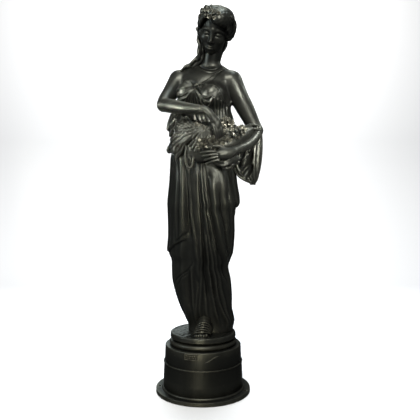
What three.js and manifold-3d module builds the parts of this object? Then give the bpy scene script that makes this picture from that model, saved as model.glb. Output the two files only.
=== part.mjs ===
// A cast iron garden statue: a young woman in a draped antique dress gathers flowers into the cloth over
// her left arm. The figure and its round terrace are one casting, and the round plinth below is another.
// Millimetres, +Z up. The origin is on the ground at the plinth's centre, and the figure looks along -Y.
import * as THREE from "three";
import { mergeVertices } from "three/addons/utils/BufferGeometryUtils.js";
import Module from "manifold-3d";

const wasm = await Module();
wasm.setup();

// Driving dimensions of the plinth.
const flangeRadius = 184;
const flangeHeight = 15;
const flangeLedge = 23;
const footBeadHeight = 7;
const drumSetback = 5;
const drumHeight = 171;
const drumTaper = 6;
const seamHeight = 107;
const seamStep = 2.5;
const drumEdgeRound = 4;
const torusSetback = 25;
const torusHeight = 20;
const boltHoleRadius = 6;
const boltEdgeDistance = 14;
const boltAngles = [180, -18];
const plateWidth = 48;
const plateHeight = 20;
const plateDrop = 13;
const plateAngle = -17;
const plateProud = 1.2;
const plateThickness = 8;

// Radii that follow from the flange, so that the bolts always keep their distance from its edge and drum.
const footBeadRadius = flangeRadius - flangeLedge;
const drumFootRadius = footBeadRadius - drumSetback;
const torusRadius = drumFootRadius - torusSetback;
const boltCircleRadius = flangeRadius - boltEdgeDistance;

// Driving dimensions of the figure and of the terrace cast with it.
const figureHeight = 1266;
const terraceRadius = 128;
const terraceHeight = 28;
const terraceNeckRadius = 118;
const terraceLip = 15;
const seatGap = 0.3;

// How finely the round work and the carving are faceted.
const roundSides = 48;
const bodyGrid = 6;
const bodyFaceCount = 4300;
const headGrid = 4;
const headFaceCount = 1750;
const handGrid = 4;
const handFaceCount = 420;
const flowerGrid = 4.5;
const flowerFaceCount = 700;
const carvingFaceCount = 7050;

// The carving is written in millimetres of a figure 1266 mm high, and scaled as a whole to the real height.
const carvingScale = figureHeight / 1266;

const rad = THREE.MathUtils.degToRad;
const { clamp, lerp, smoothstep } = THREE.MathUtils;
const gauss = (t) => Math.exp(-t * t);

// A form is a function of a point: negative inside, and outside it grows about as the distance does.
// Its centre and reach bound it, so that far points can skip it.
const FAR = 1000;

function form(centre, reach, at) {
  return Object.assign(at, { centre, reach });
}

function roundMin(a, b, k) {
  const h = Math.max(k - Math.abs(a - b), 0) / k;
  return Math.min(a, b) - (h * h * k) / 4;
}

function ellipsoid(centre, radii, turn = [0, 0, 0]) {
  const [a, b, c] = turn.map(rad);
  const e = new THREE.Matrix4().makeRotationFromEuler(new THREE.Euler(a, b, c, "ZYX")).elements;
  const [cx, cy, cz] = centre;
  const [rx, ry, rz] = radii;
  return form(centre, Math.max(rx, ry, rz), (x, y, z) => {
    const dx = x - cx;
    const dy = y - cy;
    const dz = z - cz;
    const u = (e[0] * dx + e[1] * dy + e[2] * dz) / rx;
    const v = (e[4] * dx + e[5] * dy + e[6] * dz) / ry;
    const w = (e[8] * dx + e[9] * dy + e[10] * dz) / rz;
    const near = Math.sqrt(u * u + v * v + w * w);
    const slope = Math.sqrt((u * u) / (rx * rx) + (v * v) / (ry * ry) + (w * w) / (rz * rz));
    return slope > 1e-9 ? (near * (near - 1)) / slope : -Math.min(rx, ry, rz);
  });
}

// A round limb or roll of cloth through knots of [x, y, z, radius].
function tube(knots, steps = 4) {
  const points = knots.map(([x, y, z]) => new THREE.Vector3(x, y, z));
  const curve = new THREE.CatmullRomCurve3(points, false, "catmullrom", 0.5);
  const count = (knots.length - 1) * steps;
  const line = Array.from({ length: count + 1 }, (_, i) => {
    const share = i / steps;
    const from = Math.min(Math.floor(share), knots.length - 2);
    const p = curve.getPoint(i / count);
    return [p.x, p.y, p.z, lerp(knots[from][3], knots[from + 1][3], share - from)];
  });
  const box = new THREE.Box3().setFromPoints(points);
  const middle = box.getCenter(new THREE.Vector3());
  const reach = Math.max(...line.map(([x, y, z, r]) => middle.distanceTo({ x, y, z }) + r));
  return form(middle.toArray(), reach, (x, y, z) => {
    let nearest = FAR;
    for (let i = 0; i < count; i++) {
      const a = line[i];
      const b = line[i + 1];
      const bx = b[0] - a[0];
      const by = b[1] - a[1];
      const bz = b[2] - a[2];
      const dx = x - a[0];
      const dy = y - a[1];
      const dz = z - a[2];
      const t = clamp((dx * bx + dy * by + dz * bz) / (bx * bx + by * by + bz * bz), 0, 1);
      const ex = dx - t * bx;
      const ey = dy - t * by;
      const ez = dz - t * bz;
      nearest = Math.min(nearest, Math.sqrt(ex * ex + ey * ey + ez * ez) - a[3] - t * (b[3] - a[3]));
    }
    return nearest;
  });
}

function join(k, parts) {
  const box = new THREE.Box3();
  for (const { centre, reach } of parts)
    box.union(new THREE.Sphere(new THREE.Vector3(...centre), reach).getBoundingBox(new THREE.Box3()));
  const ball = box.getBoundingSphere(new THREE.Sphere());
  return form(ball.center.toArray(), ball.radius, (x, y, z) => {
    let d = FAR;
    for (const part of parts) {
      const [cx, cy, cz] = part.centre;
      const dx = x - cx;
      const dy = y - cy;
      const dz = z - cz;
      if (Math.sqrt(dx * dx + dy * dy + dz * dz) - part.reach > d + k) continue;
      d = roundMin(d, part(x, y, z), k);
    }
    return d;
  });
}

function hollowed(body, k, cuts) {
  const cut = join(k, cuts);
  return form(body.centre, body.reach, (x, y, z) => -roundMin(-body(x, y, z), cut(x, y, z), k));
}

// A body's surface raised by height(x, y, z), worked out only near the surface.
function carved(body, height, most = 24) {
  return form(body.centre, body.reach + most, (x, y, z) => {
    const d = body(x, y, z);
    return Math.abs(d) > 2 * most ? d : d - height(x, y, z);
  });
}

// A smooth function through [position, value] knots, kept as a table of steps of 2 mm.
function smoothTable(knots) {
  const first = knots[0][0];
  const last = knots[knots.length - 1][0];
  const slope = (i) => {
    const before = knots[Math.max(i - 1, 0)];
    const after = knots[Math.min(i + 1, knots.length - 1)];
    return (after[1] - before[1]) / (after[0] - before[0]);
  };
  const step = 2;
  const table = [];
  for (let s = 0, i = 0; first + s * step <= last + step; s++) {
    const at = Math.min(first + s * step, last);
    while (i < knots.length - 2 && at > knots[i + 1][0]) i++;
    const span = knots[i + 1][0] - knots[i][0];
    const t = (at - knots[i][0]) / span;
    const t2 = t * t;
    const t3 = t2 * t;
    table.push(
      (2 * t3 - 3 * t2 + 1) * knots[i][1] +
        (t3 - 2 * t2 + t) * span * slope(i) +
        (3 * t2 - 2 * t3) * knots[i + 1][1] +
        (t3 - t2) * span * slope(i + 1),
    );
  }
  return (z) => {
    const s = clamp((z - first) / step, 0, table.length - 1.001);
    const i = Math.floor(s);
    return lerp(table[i], table[i + 1], s - i);
  };
}

// A draped trunk: at each height an oval that reaches from left to right and from front to back.
// around(x, y, z) gives the angle from the front in degrees, stretched so that its sine is x's share.
function trunk(rows, { rise, fall, squareness = 2.2 }) {
  const [left, right, front, back] = [1, 2, 3, 4].map((c) => smoothTable(rows.map((r) => [r[0], r[c]])));
  const oval = (z) => {
    const [l, r, f, b] = [left(z), right(z), front(z), back(z)];
    return [(l + r) / 2, (f + b) / 2, (r - l) / 2, (b - f) / 2];
  };
  const bottom = rows[0][0];
  const top = rows[rows.length - 1][0];
  const [cx, cy] = oval((bottom + top) / 2);
  const at = (x, y, z) => {
    const [mx, my, a, b] = oval(clamp(z, bottom, top));
    const u = Math.abs((x - mx) / a);
    const v = Math.abs((y - my) / b);
    const k = Math.pow(Math.pow(u, squareness) + Math.pow(v, squareness), 1 / squareness);
    const r = Math.hypot(x - mx, y - my);
    const side = k > 1e-6 ? r * (1 - 1 / k) : -Math.min(a, b);
    return Math.max(side, (bottom - z) * fall, (z - top) * rise);
  };
  const around = (x, y, z) => {
    const [mx, my, a, b] = oval(clamp(z, bottom, top));
    return THREE.MathUtils.radToDeg(Math.atan2((x - mx) / a, -(y - my) / b));
  };
  const angleAt = (x, z) => {
    const [mx, , a] = oval(clamp(z, bottom, top));
    return THREE.MathUtils.radToDeg(Math.asin(clamp((x - mx) / a, -1, 1)));
  };
  const halfWidth = (z) => oval(clamp(z, bottom, top))[2];
  const reach = (top - bottom) / 2 + 160;
  return { ...form([cx, cy, (bottom + top) / 2], reach, at), at, around, angleAt, halfWidth };
}

// The skirt and its folds.

// Height, left edge, right edge, front and back of the skirt as it is seen from the front.
const skirtRows = [
  [-8, -62, 121, -50, 84],
  [18, -68, 128, -56, 88],
  [40, -75, 130, -60, 90],
  [64, -83, 125, -66, 93],
  [90, -94, 120, -72, 96],
  [134, -110, 120, -80, 100],
  [169, -119, 118, -86, 103],
  [204, -126, 114, -92, 106],
  [252, -128, 105, -101, 110],
  [280, -129, 113, -106, 111],
  [308, -139, 123, -110, 112],
  [378, -135, 129, -118, 114],
  [474, -136, 130, -126, 114],
  [504, -137, 142, -128, 114],
  [587, -129, 131, -128, 112],
  [640, -126, 126, -124, 110],
  [700, -122, 118, -116, 106],
  [762, -108, 104, -100, 98],
  [812, -96, 92, -84, 88],
];
const skirt = trunk(skirtRows, { rise: 1, fall: 1 });

// Folds that show from the front, as [height, x] knots, and each one's half width and rise. A furrow's rise
// is below zero.
const frontFolds = [
  { half: 12, rise: 7, knots: [[660, -96], [573, -98], [451, -102], [387, -106], [320, -108]] },
  { half: 13, rise: 9, knots: [[700, -80], [592, -75], [444, -75], [369, -78], [285, -79], [216, -81]] },
  { half: 14, rise: 8, knots: [[231, -81], [177, -80], [126, -75], [60, -62]] },
  { half: 11, rise: 10, knots: [[666, -58], [584, -54], [511, -50], [425, -41], [361, -30], [293, -19],
    [220, -13]] },
  { half: 15, rise: 5, knots: [[647, -36], [555, -32], [481, -26], [406, -21], [338, -17]] },
  { half: 9, rise: 8, knots: [[660, -21], [518, -15], [387, -7], [235, -6], [177, -8], [70, -12]] },
  { half: 10, rise: 12, knots: [[690, -8], [592, -2], [488, 8], [399, 20], [293, 38], [235, 46],
    [130, 63], [30, 102]] },
  { half: 9, rise: 9, knots: [[399, 9], [308, 20], [247, 27], [177, 35], [118, 46], [45, 62]] },
  { half: 22, rise: 13, knots: [[636, 35], [555, 38], [488, 46], [384, 66], [285, 89], [235, 100],
    [100, 108]] },
  { half: 11, rise: 9, knots: [[660, 70], [573, 83], [518, 90], [462, 98], [414, 105]] },
  { half: 12, rise: 8, knots: [[640, 92], [562, 103], [507, 110], [369, 116], [312, 109]] },
  { half: 11, rise: 9, knots: [[357, 38], [285, 52], [227, 63], [169, 74], [114, 88], [40, 106]] },
  { half: 10, rise: 6, knots: [[247, -46], [177, -42], [118, -40], [45, -31]] },
  { half: 11, rise: 6, knots: [[200, 8], [138, 12], [60, 18]] },
  { half: 11, rise: -9, knots: [[570, 22], [507, 29], [444, 40], [384, 53], [323, 68], [208, 97]] },
  { half: 10, rise: -7, knots: [[636, -65], [555, -63], [492, -61], [384, -54]] },
  { half: 10, rise: -6, knots: [[243, -57], [177, -60], [110, -56]] },
];

// Folds on the sides and the back hang straight, each at its own angle from the front.
const sideFolds = [
  [-86, 11, 7, 700, 60],
  [-106, 13, 9, 720, 30],
  [88, 10, 7, 640, 20],
  [104, 12, 8, 700, 20],
];
const backFoldCount = 9;
for (let i = 0; i < backFoldCount; i++) {
  const share = i / (backFoldCount - 1);
  sideFolds.push([lerp(122, 236, share), 10 + 3 * (i % 2), 9 + 2 * ((i + 1) % 3), 780 - 60 * (i % 2), 0]);
}

function foldTables() {
  const front = frontFolds.map(({ half, rise, knots }) => ({
    half,
    rise,
    top: knots[0][0],
    foot: knots[knots.length - 1][0],
    angle: smoothTable([...knots].reverse().map(([z, x]) => [z, skirt.angleAt(x, z)])),
  }));
  const sides = sideFolds.map(([angle, half, rise, top, foot]) => ({
    half,
    rise,
    top,
    foot,
    angle: (z) => angle + 3 * Math.sin(z / 95 + angle),
  }));
  return [...front, ...sides];
}
const folds = foldTables();

const turnBetween = (a, b) => ((((a - b) % 360) + 540) % 360) - 180;

// Ridges meet in sharp valleys: their heights add as a power mean does. The deepest furrow is cut on top.
function foldHeight(angle, z) {
  const degree = rad(1) * skirt.halfWidth(z);
  let sum = 0;
  let furrow = 0;
  for (const fold of folds) {
    if (z > fold.top + 40 || z < fold.foot - 40) continue;
    const away = (Math.abs(turnBetween(angle, fold.angle(z))) * degree) / fold.half;
    if (away > 1.6) continue;
    const ends = smoothstep(z, fold.foot - 40, fold.foot + 30)
      * (1 - smoothstep(z, fold.top - 50, fold.top + 40));
    const rise = fold.rise * ends * gauss(away * 1.15);
    if (rise > 0) sum += rise * rise * rise;
    else furrow = Math.min(furrow, rise);
  }
  return Math.cbrt(sum) + furrow;
}

// The long overdress ends in a zigzag hem, lower at her right side and behind.
const hemLine = smoothTable([
  [-180, 352], [-150, 300], [-128, 345], [-104, 306], [-88, 312], [-74, 326], [-66, 331], [-50, 347],
  [-42, 372], [-24, 404], [0, 404], [60, 500], [78, 490], [100, 470], [126, 380], [150, 404], [180, 352],
]);
const hemThickness = 8;
const foldDepth = 12;

function skirtHeight(x, y, z) {
  const angle = skirt.around(x, y, z);
  const frontFade = smoothstep(angle, -34, -24) * (1 - smoothstep(angle, 62, 74));
  const hem = hemThickness * (1 - frontFade) * smoothstep(z, hemLine(angle) - 4, hemLine(angle) + 3);
  return foldHeight(angle, z) + hem - foldDepth;
}

const carvedSkirt = form(skirt.centre, skirt.reach, (x, y, z) => {
  const d = skirt.at(x, y, z);
  return Math.abs(d) > 50 ? d : d - skirtHeight(x, y, z) * smoothstep(z, -30, 30);
});

// Her right foot steps out below the hem, which arches over it.
const footHollow = ellipsoid([4, -72, 14], [34, 42, 46]);
const foot = join(6, [
  tube([[8, -20, 66, 25], [4, -56, 44, 23], [-2, -84, 20, 19]]),
  ellipsoid([-5, -88, 8], [23, 18, 14]),
  ...[0, 1, 2, 3, 4].map((i) => {
    const across = -24 + 9.4 * i;
    const tip = -106 + 1.6 * Math.abs(i - 3.4);
    return tube([[across * 0.9, -92, 9, 6.5], [across, tip, 4 + 0.6 * i, 5 + 0.5 * i]], 1);
  }),
]);
const sole = ellipsoid([-2, -78, -2], [30, 36, 9]);

// The trunk above the waist. The chest is turned towards her right.
const chestTurn = 16;
const chestCentre = [8, 4, 905];
const towards = [-Math.sin(rad(chestTurn)), -Math.cos(rad(chestTurn))];
const across = [Math.cos(rad(chestTurn)), -Math.sin(rad(chestTurn))];

function onChest(side, forward, height) {
  return [
    chestCentre[0] + side * across[0] + forward * towards[0],
    chestCentre[1] + side * across[1] + forward * towards[1],
    height,
  ];
}

const knot = onChest(-2, 104, 938);
const breastRight = onChest(-46, 66, 919);
const breastLeft = onChest(48, 70, 908);
const shoulderRight = [-96, 34, 984];
const shoulderLeft = [112, -14, 971];

const chest = join(26, [
  ellipsoid([2, -2, 815], [88, 72, 90]),
  ellipsoid(chestCentre, [100, 78, 114], [0, 0, -chestTurn]),
  ellipsoid([12, 6, 968], [108, 54, 44], [0, 0, -chestTurn]),
  ellipsoid(breastRight, [42, 42, 41]),
  ellipsoid(breastLeft, [43, 43, 42]),
  tube([[36, 12, 1034, 24], [-30, 22, 1010, 27], shoulderRight.concat(30)]),
  tube([[34, 4, 1034, 24], [70, -4, 1004, 26], shoulderLeft.concat(30)]),
  ellipsoid(onChest(0, -46, 950), [70, 34, 62]),
]);

const neck = tube([[24, 8, 996, 42], [30, 7, 1028, 36.5], [35, 7, 1062, 34.5], [42, 10, 1100, 36]]);

// Height of the dress's top edge where it shows from the front, and behind.
const neckline = smoothTable([
  [-120, 900], [-92, 940], [-76, 962], [-52, 964], [-24, 940], [6, 944], [40, 946], [62, 930],
  [82, 890], [120, 872],
]);
const backNeckline = 935;

// The blouse puffs out over the belt.
const blouseDepth = 22;

function dressHeight(x, y, z) {
  const [kx, , kz] = knot;
  const facing = smoothstep(-y, -10, 40);
  const edge = lerp(backNeckline, neckline(clamp(x, -120, 120)), facing);
  const cloth = 3.5 * (1 - smoothstep(z, edge - 3, edge + 3));
  const rolledEdge = 2.5 * gauss((z - edge + 4) / 4.5);
  const dx = x - kx;
  const dz = z - kz;
  const out = Math.hypot(dx, dz);
  const down = THREE.MathUtils.radToDeg(Math.atan2(dx, -dz));
  const fanSpread = 62;
  const fanRidges = 7;
  const fan =
    4.5 *
    facing *
    smoothstep(out, 8, 26) *
    (1 - smoothstep(out, 64, 92)) *
    (1 - smoothstep(Math.abs(down), fanSpread - 14, fanSpread)) *
    (0.5 + 0.5 * Math.cos((down / fanSpread) * fanRidges * Math.PI));
  let swags = 0;
  for (const [bx, , bz] of [breastRight, breastLeft]) {
    const lift = Math.hypot(x - bx + 6, (z - bz - 8) * 1.06);
    const under = smoothstep(bz - z, -6, 22);
    for (const ring of [43, 55]) swags += 4.5 * facing * under * gauss((lift - ring) / 4.6);
  }
  const puff = blouseDepth * smoothstep(-z, -872, -806) * smoothstep(z, 780, 800);
  const hangs = smoothstep(x, 52, 74) * (1 - smoothstep(z, 880, 930)) * smoothstep(z, 800, 850);
  const sideFold = 4 * hangs * (0.5 + 0.5 * Math.cos(((x + y * 0.7) / 15) * Math.PI));
  return cloth + rolledEdge * (0.4 + 0.6 * facing) + Math.max(fan, swags) + sideFold + puff;
}
const dressedChest = carved(chest, dressHeight, 34);

const strap = tube([[-14, -112, 944, 2.6], [16, -96, 962, 2.6], [52, -66, 992, 2.6],
  [84, -24, 1014, 2.6], [92, 10, 1012, 2.6]]);
const bow = join(4, [
  ellipsoid([knot[0] - 2, knot[1] - 10, knot[2] - 1], [11, 8, 8], [0, -35, 0]),
  ellipsoid([knot[0] + 15, knot[1] - 8, knot[2] - 6], [10, 6, 6], [0, -10, 0]),
]);

// The arms and hands.
const rightElbow = [-147, -56, 874];
const rightWrist = [10, -170, 842];
const leftElbow = [208, 10, 782];
const leftWrist = [118, -144, 699];

const rightArm = tube([
  [...shoulderRight, 37], [-122, 4, 934, 32], [-143, -34, 894, 28], [...rightElbow, 26.5],
], 5);
const rightForearm = tube([
  [...rightElbow, 26.5], [-112, -92, 864, 26], [-66, -128, 854, 21.5], [-26, -152, 848, 17],
  [...rightWrist, 14.5],
], 5);
const leftArm = tube([
  [...shoulderLeft, 39], [138, -12, 912, 36.5], [167, 0, 860, 34], [192, 8, 812, 29], [...leftElbow, 26],
], 5);
const leftForearm = tube([
  [...leftElbow, 26], [188, -34, 746, 25.5], [158, -88, 719, 21], [...leftWrist, 15.5],
], 5);

// Four fingers side by side, from a row of knuckles to a row of tips, a little bent in between.
function fingers([knuckleA, knuckleB], [tipA, tipB], radius, bend) {
  return [0, 1, 2, 3].map((i) => {
    const knuckle = knuckleA.map((v, c) => lerp(v, knuckleB[c], i / 3));
    const tip = tipA.map((v, c) => lerp(v, tipB[c], i / 3));
    const middle = knuckle.map((v, c) => lerp(v, tip[c], 0.5) + bend[c]);
    return tube([[...knuckle, radius + 1], [...middle, radius], [...tip, radius - 1.2]], 2);
  });
}

const rightHand = join(4, [
  tube([[-8, -161, 845, 15.5], [...rightWrist, 14.5], [28, -178, 826, 13.5], [42, -182, 806, 12]]),
  ellipsoid([47, -180, 797], [18, 11, 27], [0, -22, 0]),
  ...fingers([[38, -185, 782], [64, -175, 785]], [[48, -171, 741], [70, -160, 749]], 6.4, [2, -5, 0]),
  tube([[40, -174, 800, 8], [33, -166, 778, 7], [39, -160, 758, 5.5]], 3),
]);
const leftHand = join(4, [
  tube([[132, -128, 705, 17.5], [...leftWrist, 15.5], [98, -160, 696, 13]]),
  ellipsoid([76, -170, 686], [34, 11, 22], [0, -6, 0]),
  ...fingers([[46, -180, 696], [58, -176, 657]], [[-5, -176, 686], [11, -172, 648]], 6.8, [0, -3, 2]),
]);

// The head, in its own frame of millimetres from the skull's middle, face towards -Y, then bowed.
const headCentre = [47, -38, 1157];
const headScale = 0.93;
const headBow = 27;
const headTilt = 13;
const headYaw = -6;
const headFrame = new THREE.Matrix4()
  .makeRotationFromEuler(new THREE.Euler(rad(headBow), rad(headTilt), rad(headYaw), "ZYX"))
  .scale(new THREE.Vector3(headScale, headScale, headScale))
  .setPosition(...headCentre);

const faceOval = join(14, [
  ellipsoid([0, 10, 22], [60, 74, 66]),
  ellipsoid([0, -20, -30], [48, 50, 58]),
  ellipsoid([0, -48, -72], [19, 17, 15]),
  ellipsoid([-27, -46, -24], [20, 18, 18]),
  ellipsoid([27, -46, -24], [20, 18, 18]),
]);
const eyeSockets = [-25, 25].map((x) => ellipsoid([x, -76, 0], [17, 14, 10]));
const face = join(5, [
  hollowed(faceOval, 8, eyeSockets),
  ellipsoid([-24, -55, -2], [13, 12, 10]),
  ellipsoid([24, -55, -2], [13, 12, 10]),
  tube([[-38, -54, 12, 4], [-22, -65, 16, 5], [-6, -66, 12, 4.5]], 3),
  tube([[38, -54, 12, 4], [22, -65, 16, 5], [6, -66, 12, 4.5]], 3),
  tube([[0, -66, 10, 5], [0, -74, -8, 5.5], [0, -82, -28, 7.5]], 3),
  ellipsoid([-8, -74, -31], [6.5, 8, 6]),
  ellipsoid([8, -74, -31], [6.5, 8, 6]),
  ellipsoid([0, -66, -49], [16, 10, 6]),
  ellipsoid([0, -66, -58], [14, 9, 5.5]),
]);

// Wavy hair is parted in the middle and drawn back to a knot; a wreath of blossom and leaves rings it.
const hairCap = hollowed(
  join(10, [
    ellipsoid([0, 16, 25], [68, 79, 71]),
    ellipsoid([-50, 0, -6], [19, 40, 36]),
    ellipsoid([-54, -2, 42], [24, 30, 22]),
    ellipsoid([55, 6, 8], [28, 44, 42]),
    ellipsoid([0, 84, 0], [36, 32, 34]),
  ]),
  6,
  [ellipsoid([0, -70, -24], [51, 48, 66])],
);
const wavyHair = carved(hairCap, (x, y, z) => {
  const sweep = Math.atan2(Math.abs(x), z + 40);
  const along = y + 40;
  return 2.4 * Math.sin(sweep * 14 + 0.9 * Math.sin(along / 13)) - 3 * gauss(x / 6) * smoothstep(z, 20, 60);
}, 8);

function blossom(centre, size, turn) {
  const m = new THREE.Matrix4()
    .makeRotationFromEuler(new THREE.Euler(rad(turn[0]), rad(turn[1]), rad(turn[2]), "ZYX"))
    .setPosition(...centre);
  const petals = [0, 1, 2, 3, 4].map((i) => {
    const a = (i / 5) * 2 * Math.PI;
    const p = new THREE.Vector3(Math.cos(a) * size * 0.62, Math.sin(a) * size * 0.62, 0).applyMatrix4(m);
    return ellipsoid(p.toArray(), [size * 0.5, size * 0.5, size * 0.42], turn);
  });
  const heart = new THREE.Vector3(0, 0, size * 0.22).applyMatrix4(m);
  return join(2, [...petals, ellipsoid(heart.toArray(), [size * 0.34, size * 0.34, size * 0.34])]);
}

const wreathCount = 11;
const wreath = Array.from({ length: wreathCount }, (_, i) => {
  const a = rad(-92 + (178 * i) / (wreathCount - 1));
  const centre = [Math.sin(a) * 66, 10 - Math.cos(a) * 70, 57 + 16 * Math.cos(a)];
  if (i % 2) return ellipsoid(centre, [13, 6, 9], [0, 0, (a * 180) / Math.PI]);
  return ellipsoid(centre, [11, 9, 10]);
});
const crownCurls = [
  ellipsoid([-56, -6, 66], [18, 19, 18]),
  ellipsoid([-40, -18, 84], [15, 15, 14]),
  ellipsoid([-12, -6, 88], [22, 24, 13]),
  ellipsoid([12, 0, 88], [26, 34, 14]),
];

const headForms = join(5, [face, wavyHair, ...wreath, ...crownCurls]);
const intoHead = headFrame.clone().invert().elements;
const head = form(headCentre, 140, (x, y, z) =>
  headScale *
  headForms(
    intoHead[0] * x + intoHead[4] * y + intoHead[8] * z + intoHead[12],
    intoHead[1] * x + intoHead[5] * y + intoHead[9] * z + intoHead[13],
    intoHead[2] * x + intoHead[6] * y + intoHead[10] * z + intoHead[14],
  ),
);

// A long curl of two strands turned round each other.
function tress(knots, twist) {
  return join(2, [0, 180].map((phase) => {
    const strand = knots.map(([x, y, z, r], i) => {
      const a = rad(phase + twist * i);
      return [x + Math.cos(a) * r * 0.5, y + Math.sin(a) * r * 0.5, z, r * 0.72];
    });
    return tube(strand, 4);
  }));
}
const tresses = [
  tress([[-16, -16, 1170, 11], [-15, -18, 1140, 9], [-14, -18, 1112, 9], [-12, -20, 1084, 9],
    [-20, -22, 1060, 11],
    [-44, -24, 1040, 12], [-62, -26, 1028, 11], [-78, -28, 1020, 7]], 95),
  tress([[90, 6, 1140, 12], [84, 12, 1112, 10], [72, 16, 1086, 9], [62, 16, 1062, 6]], 95),
];
const napeHair = join(10, [
  ellipsoid([56, 36, 1128], [42, 30, 36]),
  tube([[56, 40, 1110, 28], [48, 34, 1070, 24], [42, 36, 1030, 16], [40, 44, 996, 8]]),
  tube([[10, 14, 1130, 20], [0, 4, 1090, 14], [-8, 0, 1056, 12], [-34, 0, 1030, 10]]),
]);

// The blouse hangs in a point at her right side, and the cloth is full over the hips in front.
const blouse = [
  tube([[-112, 6, 838, 17], [-120, 0, 808, 19], [-133, -6, 788, 9]]),
  tube([[-110, 8, 800, 16], [-124, -4, 771, 9]]),
  ellipsoid([-50, -88, 780], [58, 44, 36]),
  ellipsoid([26, -102, 764], [56, 42, 44]),
];

// The overdress is caught up round the hips: one broad swag over a pointed one, and gathers below.
const swags = [
  tube([[9, -150, 772, 8], [-17, -148, 770, 9], [-42, -141, 765, 11], [-69, -128, 754, 13],
    [-92, -110, 734, 15],
    [-110, -86, 718, 14], [-120, -56, 710, 12], [-126, -20, 712, 10]]),
  tube([[2, -150, 762, 6], [-24, -147, 754, 7], [-50, -139, 745, 7], [-69, -129, 734, 7], [-80, -119, 717, 8],
    [-85, -111, 695, 9], [-92, -102, 680, 9], [-103, -92, 696, 9]]),
  ellipsoid([-98, -92, 706], [17, 20, 27]),
  tube([[-46, -139, 742, 6], [-62, -131, 731, 8], [-70, -124, 714, 4]], 2),
  tube([[-118, -60, 740, 10], [-104, -92, 752, 9], [-84, -112, 772, 8], [-56, -124, 786, 7]]),
];
const gatherPoint = [16, -150, 770];
const gatherEnds = [[-44, -142, 716], [-26, -144, 700], [-8, -146, 706], [18, -150, 716],
  [40, -152, 726], [58, -150, 736]];
const gathers = gatherEnds.map((end) =>
  tube([[...gatherPoint, 6],
    [...gatherPoint.map((v, c) => lerp(v, end[c], 0.5) + (c === 1 ? -3 : 0)), 6.5], [...end, 5]], 2),
);
const pendant = [
  tube([[-61, -132, 702, 5], [-62, -135, 673, 5], [-58, -137, 646, 5], [-48, -137, 631, 5.5],
    [-37, -137, 646, 5],
    [-33, -136, 676, 5]], 3),
  ellipsoid([-48, -131, 668], [14, 6, 34]),
];

// Cloth gathered in her left hand holds the flowers; its end hangs from the elbow in a pointed bag.
const pouch = join(12, [
  tube([[6, -128, 714, 20], [56, -130, 716, 30], [104, -112, 732, 36], [146, -78, 762, 30],
    [176, -44, 780, 18]], 4),
]);
const pouchFolds = [
  tube([[52, -150, 650, 8], [76, -150, 648, 9], [100, -142, 660, 8], [124, -124, 680, 7]]),
  tube([[78, -146, 640, 7], [96, -138, 640, 8], [116, -124, 656, 7], [134, -104, 672, 7]]),
];
const bagRows = [
  [575, 187, 200, -12, 2],
  [590, 165, 208, -22, 10],
  [609, 139, 213, -30, 16],
  [640, 124, 220, -38, 22],
  [690, 128, 226, -40, 24],
  [740, 160, 228, -34, 30],
  [790, 190, 224, -20, 30],
];
const bagBody = trunk(bagRows, { rise: 1, fall: 1, squareness: 2 });
const bag = hollowed(
  form(bagBody.centre, 130, (x, y, z) => {
    const d = bagBody.at(x, y, z);
    if (Math.abs(d) > 40) return d;
    const pleats = 0.5 + 0.5 * Math.cos((bagBody.around(x, y, z) + (z - 640) * 0.12) * rad(13));
    return d - 5 * pleats;
  }),
  6,
  [ellipsoid([158, -46, 668], [27, 26, 46], [0, 18, 0])],
);
const bagBuds = [
  ellipsoid([156, -46, 658], [11, 12, 17], [0, 24, 0]),
  ellipsoid([133, -54, 658], [8, 9, 12], [0, 40, 0]),
  tube([[172, -30, 712, 4], [166, -40, 686, 4], [158, -44, 668, 5]], 2),
];
const sleeve = [
  tube([[152, -50, 786, 8], [182, -36, 798, 9], [208, -14, 796, 10], [224, 6, 780, 9]]),
  tube([[160, -66, 766, 7], [188, -48, 766, 8], [214, -26, 758, 8]]),
  ellipsoid([212, 16, 762], [18, 22, 34]),
];

// Blossoms and leaves over the pouch, set round a line by a spiral that always turns out the same.
function bouquet() {
  const heads = [[-12, -148, 712], [10, -152, 732], [38, -154, 716], [66, -152, 730], [96, -142, 744],
    [126, -122, 758],
    [152, -92, 782]];
  const line = new THREE.CatmullRomCurve3(heads.map((p) => new THREE.Vector3(...p)));
  const list = [];
  const count = 24;
  const golden = 137.5;
  for (let i = 0; i < count; i++) {
    const at = line.getPoint((i + 0.5) / count);
    const spin = rad(golden * i);
    const wide = 10 + 14 * Math.sin(((i + 0.5) / count) * Math.PI);
    const centre = [at.x + Math.cos(spin) * wide * 0.7, at.y + 8 - 6 * Math.cos(spin),
      at.z + Math.sin(spin) * wide];
    const size = 10 + ((i * 7) % 5);
    if (i % 3 === 2) list.push(ellipsoid(centre, [size * 1.5, size * 0.5, size * 0.7], [20, golden * i, 15]));
    else list.push(blossom(centre, size, [70 + 20 * Math.sin(spin), 20 * Math.cos(spin), 0]));
  }
  return list;
}
const tallFlowers = [
  [86, -118, 770, 14], [76, -108, 792, 12], [88, -98, 814, 13], [106, -92, 802, 13], [116, -100, 780, 13],
].map(([x, y, z, r]) => ellipsoid([x, y, z], [r, r * 0.9, r]));

const bodyForm = join(3, [
  join(9, [
    join(16, [hollowed(carvedSkirt, 8, [footHollow]), dressedChest]),
    ...blouse,
    neck,
    rightArm,
    leftArm,
  ]),
  join(5, [...swags, ...gathers]),
  ...pendant,
  join(6, [rightArm, rightForearm]),
  join(6, [leftArm, leftForearm]),
  join(5, [pouch, ...pouchFolds]),
  neck,
  foot,
  sole,
  strap,
  bow,
  bag,
  ...bagBuds,
  ...sleeve,
]);
const headForm = join(4, [head, join(8, [neck, napeHair]), ...tresses]);
const flowerForm = join(3, [join(6, [pouch]), ...bouquet(), ...tallFlowers]);

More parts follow.
